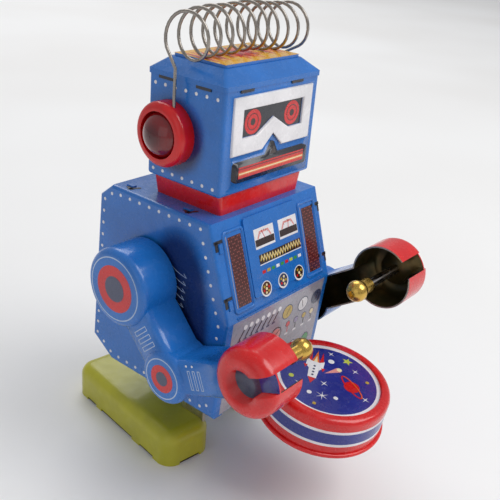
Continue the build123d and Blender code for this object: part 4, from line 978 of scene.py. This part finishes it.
def ridge(bm, lay, outline, width, height):
    """A raised half-round bead along a closed outline."""
    count = len(outline)
    profile = [(-width / 2, -0.05), (-width * 0.36, height * 0.72), (0, height), (width * 0.36, height * 0.72),
               (width / 2, -0.05)]
    rings = []
    for i, (x, y) in enumerate(outline):
        a = Vector((x - outline[i - 1][0], y - outline[i - 1][1])).normalized()
        after = outline[(i + 1) % count]
        b = Vector((after[0] - x, after[1] - y)).normalized()
        along = (a + b).normalized()
        stretch = 1 / max(0.5, along.dot(a))
        rings.append([bm.verts.new(lay(x - along.y * w * stretch, y + along.x * w * stretch, h))
                      for w, h in profile])
    for i in range(count):
        for j in range(len(profile)):
            k = (j + 1) % len(profile)
            bm.faces.new((rings[i][j], rings[i][k], rings[(i + 1) % count][k], rings[(i + 1) % count][j]))


def rounded(x0, y0, x1, y1, radius, steps=5):
    """Outline of a rectangle with round corners."""
    points = []
    for cx, cy, first in ((x1 - radius, y1 - radius, 0), (x0 + radius, y1 - radius, 90),
                          (x0 + radius, y0 + radius, 180), (x1 - radius, y0 + radius, 270)):
        for i in range(steps + 1):
            angle = math.radians(first + 90 * i / steps)
            points.append((cx + radius * math.cos(angle), cy + radius * math.sin(angle)))
    return points


class ROBOT_OT_ridges(bpy.types.Operator):
    """Embossed beads round the chest's grilles, and the lip of the chest over the belly"""
    bl_idname = "robot.ridges"
    bl_label = "Embossed beads"

    def execute(self, context):
        bm = bmesh.new()
        for x0, x1 in GRILLES:
            ridge(bm, chest, rounded(x0 - 1.4, GRILLE_ROWS[0] - 1.0, x1 + 0.7, GRILLE_ROWS[1] + 1.5, 0.9), 0.9, 0.42)
        ridge(bm, chest, rounded(-17.6, -24.75, 17.6, -24.35, 0.15), 0.3, 0.25)
        bmesh.ops.recalc_face_normals(bm, faces=bm.faces)
        edge_smooth(keep("chest_beads", bm, "torso", ["blue_tin"]), 60)
        return {"FINISHED"}


class ROBOT_OT_belly(bpy.types.Operator):
    """Grey control board printed on the belly: levers, gauges and switches"""
    bl_idname = "robot.belly"
    bl_label = "Belly"

    def execute(self, context):
        art = Print(belly)
        art.fill(box(-19.2, -28.3, 19.2, -0.15), "grey", 1)
        art.line([(-18.8, -0.7), (18.8, -0.7)], 0.25, "lilac", 2)
        for i in range(7):
            x = -15.2 + 2.3 * i
            art.line([(x - 0.8, -6.2), (x + 0.9, -3.5)], 0.42, "umber", 2)
            art.fill(circle(x + 1.15, -3.0, 0.72, 16), "white", 3)
            art.fill(box(x - 1.3, -6.9, x - 0.1, -6.3), "slate", 2)
        for x, ink, needle in ((3.8, "gold", 0.9), (10.7, "white", -0.6), (16.9, "slate", 0.5)):
            art.fill(circle(x, -5.5, 2.3, 32), "slate", 2)
            art.fill(circle(x, -5.5, 2.0, 32), ink, 3)
            art.line([(x - needle * 0.3, -6.5), (x + needle, -4.2)], 0.2, "umber", 4)
        for x in (5.1, 8.7, 12.4, 15.9):
            ink = {5.1: "red", 8.7: "lilac", 12.4: "gold", 15.9: "cream"}[x]
            art.fill(circle(x, -9.9, 1.05, 20), "slate", 2)
            art.fill(circle(x, -9.9, 0.85, 20), ink, 3)
            art.line([(x, -9.9), (x + 0.2, -12.6)], 0.34, "umber" if ink != "red" else "red", 2)
            art.fill(box(x - 0.7, -13.4, x + 0.7, -12.8), "white", 2)
        art.line(circle(0.1, -11.4, 2.3, 32), 0.3, "umber", 2, closed=True)
        art.fill(circle(0.1, -11.4, 1.9, 32), "rose", 2)
        art.line([(-1.3, -12.5), (1.5, -10.3)], 0.25, "umber", 3)
        for angle in (0.6, -0.6):
            bar = box(-10.4, -11.75, -5.2, -11.25)
            art.fill(turned(bar, (-7.8, -11.5), angle), "red", 2 if angle > 0 else 3)
        art.line(circle(-7.8, -11.5, 3.0, 32), 0.25, "umber", 2, closed=True)
        for i in range(5):
            art.fill(box(-16.2, -9.4 - 1.3 * i, -12.4, -8.7 - 1.3 * i), ("white", "lilac")[i % 2], 2)
        for i in range(6):
            x = -15.2 + 6.1 * i
            art.fill(circle(x, -18.6, 1.7, 24), "slate", 2)
            art.fill(circle(x, -18.6, 1.4, 24), ("cream", "red", "gold", "lilac", "white", "green")[i], 3)
            art.fill(box(x - 1.8, -23.2, x + 1.8, -22.0), ("umber", "white")[i % 2], 2)
        art.done("belly_print", "torso")
        return {"FINISHED"}


class ROBOT_OT_face(bpy.types.Operator):
    """Face plate: white goggle frame, dark field with red eyes, mouth bar in a dark frame"""
    bl_idname = "robot.face"
    bl_label = "Face"

    def execute(self, context):
        bm = node_copy("head_front", "face")
        front = (HEAD_FRONT + SHIFT) * MM
        for face in bm.faces:
            centre = face.calc_center_median()
            height = centre.z / MM - HEAD_BOTTOM
            if centre.y > front - 0.03 * MM:
                face.material_index = 0
            elif height > 9.6 and not (abs(centre.x) < 2.3 * MM and height < 12.2):
                face.material_index = 1
            else:
                face.material_index = 2
        piece = keep("face_plate", bm, "torso", ["blue_tin", "white", "black"])
        edge_smooth(piece)
        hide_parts("head_front")

        art = Print(plane((0, HEAD_FRONT, HEAD_BOTTOM), (1, 0, 0), (0, 0, 1)))
        right = [(11.35, 20.4), (11.35, 13.9), (6.15, 13.9), (0, 17.5)]
        art.fill([(11.35, 20.4), (11.35, 13.9), (6.15, 13.9), (0, 17.5), (-6.15, 13.9), (-11.35, 13.9),
                  (-11.35, 20.4)], "black", 1)
        for x in (-7.5, 7.5):
            art.fill(circle(x, 17.15, 3.0, 40), "red", 2)
            art.line(circle(x, 17.15, 1.95, 32), 0.2, "brown", 3, closed=True)
            art.fill(circle(x, 17.15, 0.85, 20), "umber", 3)
        art.done("eye_print", "torso")

        mouth = Print(plane((0, HEAD_FRONT - 1.1, HEAD_BOTTOM), (1, 0, 0), (0, 0, 1)))
        mouth.fill(box(-12.7, 4.3, 12.7, 7.1), "red", 1)
        # Painted highlight: the orange stripe, and the cream line inside it, across the red mouth bar.
        mouth.fill(box(-12.7, 5.0, 12.7, 5.85), "orange", 2)
        mouth.fill(box(-12.5, 5.28, 12.5, 5.58), "cream", 3)
        mouth.line([(-12.7, 6.6), (12.7, 6.6)], 0.2, "brown", 2)
        mouth.fill([(-1.2, 8.3), (1.2, 8.3), (0, 10.5)], "umber", 1)
        mouth.done("mouth_print", "torso")
        return {"FINISHED"}


class ROBOT_OT_cap(bpy.types.Operator):
    """Yellow and red flash printed on the raised top of the cap"""
    bl_idname = "robot.cap"
    bl_label = "Cap print"

    def execute(self, context):
        centre_y = (HEAD_FRONT + HEAD_BACK) / 2
        art = Print(plane((0, centre_y, cap_high.z), (1, 0, 0), (0, 1, 0)))
        half_x, half_y = HEAD_HALF - 4.0, (HEAD_BACK - HEAD_FRONT) / 2 - 4.0
        art.fill(box(-half_x, -half_y, half_x, half_y), "yellow", 1)
        art.fill(star(0, 0.6, half_y * 0.92, half_y * 0.5, 9), "orange", 2)
        art.fill(star(0, 0.6, half_y * 0.72, half_y * 0.36, 9, 0.3), "red", 3)
        for side in (RIGHT, LEFT):
            for i in range(3):
                x = side * (half_x - 1.6 - 2.0 * i)
                art.fill([(x, -half_y + 2.6), (x + side * 1.3, 0.4), (x, half_y - 1.4), (x - side * 0.9, 0.4)],
                         ("red", "orange")[i % 2], 2)
        art.done("cap_print", "torso")
        return {"FINISHED"}


class ROBOT_OT_drum(bpy.types.Operator):
    """Space scene on the drum's head: rocket, comet, ringed planet and stars"""
    bl_idname = "robot.drum"
    bl_label = "Drum print"

    def execute(self, context):
        normal = Vector((0, -math.sin(DRUM_TILT), math.cos(DRUM_TILT)))
        up = Vector((0, math.cos(DRUM_TILT), math.sin(DRUM_TILT)))
        origin = place(0, DRUM_Y, DRUM_Z) - normal * DRUM_SINK * MM

        def lay(x, y, h):
            return origin + (Vector((1, 0, 0)) * x + up * y + normal * h) * MM
        art = Print(lay)
        nose, lean, scale = (-5.2, 2.2), math.radians(-63), 1.12

        def rocket(points, ink, layer):
            sized = [(scale * x, scale * y) for x, y in points]
            art.fill(turned(moved(sized, *nose), nose, lean), ink, layer)
        rocket([(-0.9, 2.2), (0, 0), (0.9, 2.2)], "red", 2)
        rocket([(-1.0, 2.2), (1.0, 2.2), (1.2, 5.2), (1.0, 8.2), (-1.0, 8.2), (-1.2, 5.2)], "white", 2)
        for i in range(4):
            rocket(circle(0, 3.2 + 1.1 * i, 0.3, 12), "slate", 3)
        for way in (-1, 1):
            rocket([(way * 1.1, 5.2), (way * 2.1, 6.4), (way * 2.1, 9.0), (way * 1.0, 8.2)], "white", 2)
            rocket([(way * 2.1, 5.2), (way * 2.6, 6.4), (way * 1.6, 6.4)], "red", 3)
            rocket([(way * 0.9, 8.2), (way * 1.9, 8.9), (way * 1.3, 12.4)], "red", 3)
        rocket([(-0.9, 8.2), (0.9, 8.2), (0.5, 10.0), (0, 12.6), (-0.5, 10.0)], "orange", 2)
        rocket([(-0.45, 8.2), (0.45, 8.2), (0, 10.6)], "cream", 3)
        tail = (1.1, 2.1)
        art.fill(turned([tail, (5.6, 1.2), (6.3, 2.1), (5.6, 3.0)], tail, math.radians(-21)), "rose", 2)
        art.fill(circle(5.5, 0.4, 0.72, 20), "cream", 3)
        planet = (2.6, -5.6)
        art.fill(circle(*planet, 2.1, 32), "red", 2)
        tilted = [(planet[0] + 4.3 * math.cos(math.tau * i / 40), planet[1] + 1.2 * math.sin(math.tau * i / 40))
                  for i in range(40)]
        art.line(turned(tilted, planet, 1.2), 0.4, "red", 3, closed=True)
        art.line(turned(tilted[20:], planet, 1.2), 0.2, "orange", 4)
        for x, y, outer, inner, tips, ink in ((10.3, 1.1, 1.5, 0.65, 5, "lime"), (9.2, 5.7, 1.0, 0.2, 4, "white"),
                                              (8.6, -2.7, 1.1, 0.2, 4, "white"), (-7.5, 4.2, 1.2, 0.22, 4, "white"),
                                              (-2.3, -0.2, 1.2, 0.22, 4, "white"), (-6.5, -2.6, 1.7, 0.25, 6, "white"),
                                              (1.5, -10.6, 1.1, 0.2, 4, "white"), (-1.6, 10.2, 1.0, 0.2, 4, "white")):
            art.fill(star(x, y, outer, inner, tips), ink, 2)
        for x, y, radius, ink in ((6.6, 3.8, 0.85, "white"), (-8.1, 0.3, 0.65, "white"), (-4.4, -5.4, 0.6, "white"),
                                  (-6.8, 7.1, 0.7, "lime"), (7.6, -7.2, 0.5, "gold"), (-10.4, -3.0, 0.5, "gold")):
            art.fill(circle(x, y, radius, 16), ink, 2)
        art.done("drum_print", "torso")
        return {"FINISHED"}


class ROBOT_OT_antenna(bpy.types.Operator):
    """Antenna: one spring wire from ear to ear, its coil bowed and a little uneven"""
    bl_idname = "robot.antenna"
    bl_label = "Antenna"

    def execute(self, context):
        sizes = context.scene.robot_sizes
        low, high = span("antenna_coil")
        radius, wire = sizes.coil / MM, sizes.wire / MM
        middle_y = low.y + wire + radius - SHIFT
        middle_z = high.z - wire - radius
        end_x = high.x - wire - RUN
        rise_y = middle("ear_right").y - SHIFT + WIRE_FORWARD
        kink = (rise_y, HEAD_TOP + WIRE_KINK)
        line = math.atan2(kink[1] - middle_z, kink[0] - middle_y)
        tangent = math.acos(radius / math.hypot(kink[0] - middle_y, kink[1] - middle_z))
        first, last = line + tangent, line - tangent + 2 * math.pi * (COIL_LOOPS + 1)
        seat = low.z
        points = [(-end_x, kink[0], seat), (-end_x, kink[0], kink[1] - 0.5)]
        steps = 28 * COIL_LOOPS
        coil = []
        for i in range(steps + 1):
            share = i / steps
            angle = first + (last - first) * share
            loose = 1 - 0.03 * math.sin(2.3 * angle / math.pi) - 0.015 * math.sin(0.9 * angle)
            x = -end_x + 2 * end_x * (share + 0.006 * math.sin(5 * share * math.pi))
            lift = BOW * (math.sin(math.pi * share) - 1)
            coil.append((x, middle_y + radius * loose * math.cos(angle),
                         middle_z + lift + radius * loose * math.sin(angle)))
        points += coil
        points += [(end_x, kink[0], kink[1] - 0.5), (end_x, kink[0], seat)]
        path = [place(*p) for p in points]
        values = {"Radius": sizes.wire, "Material": finish("spring")}
        piece = grow("antenna_wire", line_mesh([path]), wire_tree(), values, "torso")
        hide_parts("antenna_coil")
        return {"FINISHED"}


def slab_object(name, size, bevel=0.0):
    """A small bevelled plate, centred on the origin, as the shape that tabs repeat."""
    bm = bmesh.new()
    bmesh.ops.create_cube(bm, size=1)
    bmesh.ops.scale(bm, vec=Vector(size) * MM, verts=bm.verts)
    if bevel:
        bmesh.ops.bevel(bm, geom=bm.edges[:], offset=bevel * MM, segments=2, affect="EDGES")
    mesh = bpy.data.meshes.new(name)
    bm.to_mesh(mesh)
    bm.free()
    return bpy.data.objects.new(name, mesh)


def marks(points):
    """A mesh of points, each with the angles that a shape placed there is turned by."""
    mesh = bpy.data.meshes.new("marks")
    mesh.from_pydata([p for p, _ in points], [], [])
    turn = mesh.attributes.new("turn", "FLOAT_VECTOR", "POINT")
    turn.data.foreach_set("vector", [a for _, angles in points for a in angles])
    return mesh


class ROBOT_OT_tabs(bpy.types.Operator):
    """Tabs that hold the tin sheets together, each folded over beside its dark slot"""
    bl_idname = "robot.tabs"
    bl_label = "Folded tabs"

    def execute(self, context):
        slope = math.atan2(BELT[1] - CHEST_TOP[1], BELT[0] - CHEST_TOP[0])
        lean = math.pi / 2 + slope
        tree = tab_tree()
        gap = slab_object("slot_gap", (3.4, 0.8, 0.1))
        stem = slab_object("slot_stem", (1.0, 2.6, 0.1))
        tab = slab_object("tin_tab", (1.5, 2.4, 0.5), 0.12)
        gaps, stems, tabs = [], [], []
        for side in (RIGHT, LEFT):
            edge = side * (TORSO_HALF - 1.9)
            for down in (4.6, 18.8):
                at = chest(edge, -down, 0.02)
                turn = (math.pi / 2 - math.atan2(CHEST_TOP[0] - BELT[0], CHEST_TOP[1] - BELT[1]), 0, 0)
                gaps.append((chest(edge + side * -0.2, -down, 0.03), turn))
                stems.append((chest(edge + side * 0.8, -down - 0.9, 0.03), turn))
                tabs.append((chest(edge - side * 0.4, -down - 1.75, 0.1), turn))
            for y in (-8.4, 11.8):
                gaps.append((place(edge - side * 0.9, y, TORSO_TOP + 0.03), (0, 0, 0.5 * side)))
                stems.append((place(edge - side * 0.3, y + 0.9, TORSO_TOP + 0.03), (0, 0, 0.25 * side)))
                tabs.append((place(edge - side * 1.6, y + 1.7, TORSO_TOP + 0.1), (0, 0, 0)))
        for name, shape, where, material in (("slot_gaps", gap, gaps, "black"), ("slot_stems", stem, stems, "black"),
                                             ("tin_tabs", tab, tabs, "blue_tin")):
            grow(name, marks(where), tree, {"Tab": shape, "Material": finish(material)}, "torso")
            bpy.data.objects.remove(shape)
        seam = slab_object("seam_gap", (4.6, 0.35, 0.7))
        where = [(place(x, HEAD_FRONT - 0.12, HEAD_TOP - 0.35), (0, 0, 0)) for x in (-10.5, 8.5)]
        where += [(place(side * (HEAD_HALF + 0.1), y, HEAD_TOP - 0.3), (0, 0, math.pi / 2))
                  for side in (RIGHT, LEFT) for y in (-9.5, 2.5)]
        grow("cap_seam_gaps", marks(where), tree, {"Tab": seam, "Material": finish("black")}, "torso")
        bpy.data.objects.remove(seam)
        return {"FINISHED"}


class ROBOT_OT_stage(bpy.types.Operator):
    """Pale floor, soft lamps and the camera"""
    bl_idname = "robot.stage"
    bl_label = "Stage"

    def execute(self, context):
        scene = context.scene
        stage = scene.robot_stage
        half = stage.floor / 2
        mesh = bpy.data.meshes.new("floor")
        mesh.from_pydata([(-half, -half, 0), (half, -half, 0), (half, half, 0), (-half, half, 0)], [],
                         [(0, 1, 2, 3)])
        mesh.materials.append(floor_paper())
        floor = bpy.data.objects.new("floor", mesh)
        scene.collection.objects.link(floor)

        world = bpy.data.worlds.new("soft_white")
        world.use_nodes = True
        background = world.node_tree.nodes["Background"]
        background.inputs["Color"].default_value = linear("#FAFBFF")
        background.inputs["Strength"].default_value = stage.sky
        scene.world = world
        scene.view_settings.view_transform = "Standard"

        aim = place(7.334, -6.949, 55.444)
        for name, power, size, spot_at in (("key", stage.key, 0.5, (0.22, -0.42, 0.62)),
                                           ("fill", stage.fill, 0.6, (-0.75, -0.25, 0.35)),
                                           ("back", stage.back, 0.9, (0.55, 0.75, 0.9))):
            lamp = bpy.data.lights.new(name, "AREA")
            lamp.energy = power
            lamp.size = size
            holder = bpy.data.objects.new(name, lamp)
            holder.location = spot_at
            towards = Vector((0.35, 0.6, 0)) if name == "back" else aim
            holder.rotation_euler = (towards - Vector(spot_at)).to_track_quat("-Z", "Y").to_euler()
            scene.collection.objects.link(holder)

        away = Vector((-0.717, -0.557, 0.419)).normalized()
        lens = bpy.data.cameras.new("camera")
        lens.lens = 55.4
        lens.sensor_width = 36
        lens.clip_start = 0.01
        camera = bpy.data.objects.new("camera", lens)
        turn = (-away).to_track_quat("-Z", "Y").to_matrix().to_4x4()
        roll = Matrix.Rotation(math.radians(5.03), 4, "Z")
        camera.matrix_world = Matrix.Translation(aim + away * 212.45 * MM) @ turn @ roll
        scene.collection.objects.link(camera)
        scene.camera = camera
        return {"FINISHED"}


STEPS = (ROBOT_OT_finishes, ROBOT_OT_arms, ROBOT_OT_arm_prints, ROBOT_OT_rivets, ROBOT_OT_side_prints,
         ROBOT_OT_chest, ROBOT_OT_ridges, ROBOT_OT_belly, ROBOT_OT_face, ROBOT_OT_cap, ROBOT_OT_drum,
         ROBOT_OT_antenna, ROBOT_OT_tabs, ROBOT_OT_stage)


class ROBOT_PT_panel(bpy.types.Panel):
    """Steps of the tin robot, in order"""
    bl_idname = "ROBOT_PT_panel"
    bl_label = "Tin robot"
    bl_space_type = "VIEW_3D"
    bl_region_type = "UI"
    bl_category = "Tin robot"

    def draw(self, context):
        for group in (context.scene.robot_colours, context.scene.robot_sizes, context.scene.robot_stage):
            for name in group.__annotations__:
                self.layout.prop(group, name)
        for step in STEPS:
            self.layout.operator(step.bl_idname)


GROUPS = (("robot_colours", RobotColours), ("robot_sizes", RobotSizes), ("robot_stage", StageSettings))


def register():
    """Registers the settings, the steps and the panel."""
    for name, group in GROUPS:
        bpy.utils.register_class(group)
        setattr(bpy.types.Scene, name, bpy.props.PointerProperty(type=group))
    for item in STEPS + (ROBOT_PT_panel,):
        bpy.utils.register_class(item)


def unregister():
    """Takes everything out again."""
    for item in reversed(STEPS + (ROBOT_PT_panel,)):
        bpy.utils.unregister_class(item)
    for name, group in reversed(GROUPS):
        delattr(bpy.types.Scene, name)
        bpy.utils.unregister_class(group)


def main():
    """Builds the robot's visible pieces and its stage."""
    register()
    for step in STEPS:
        family, name = step.bl_idname.split(".")
        getattr(getattr(bpy.ops, family), name)()


if __name__ == "__main__":
    main()
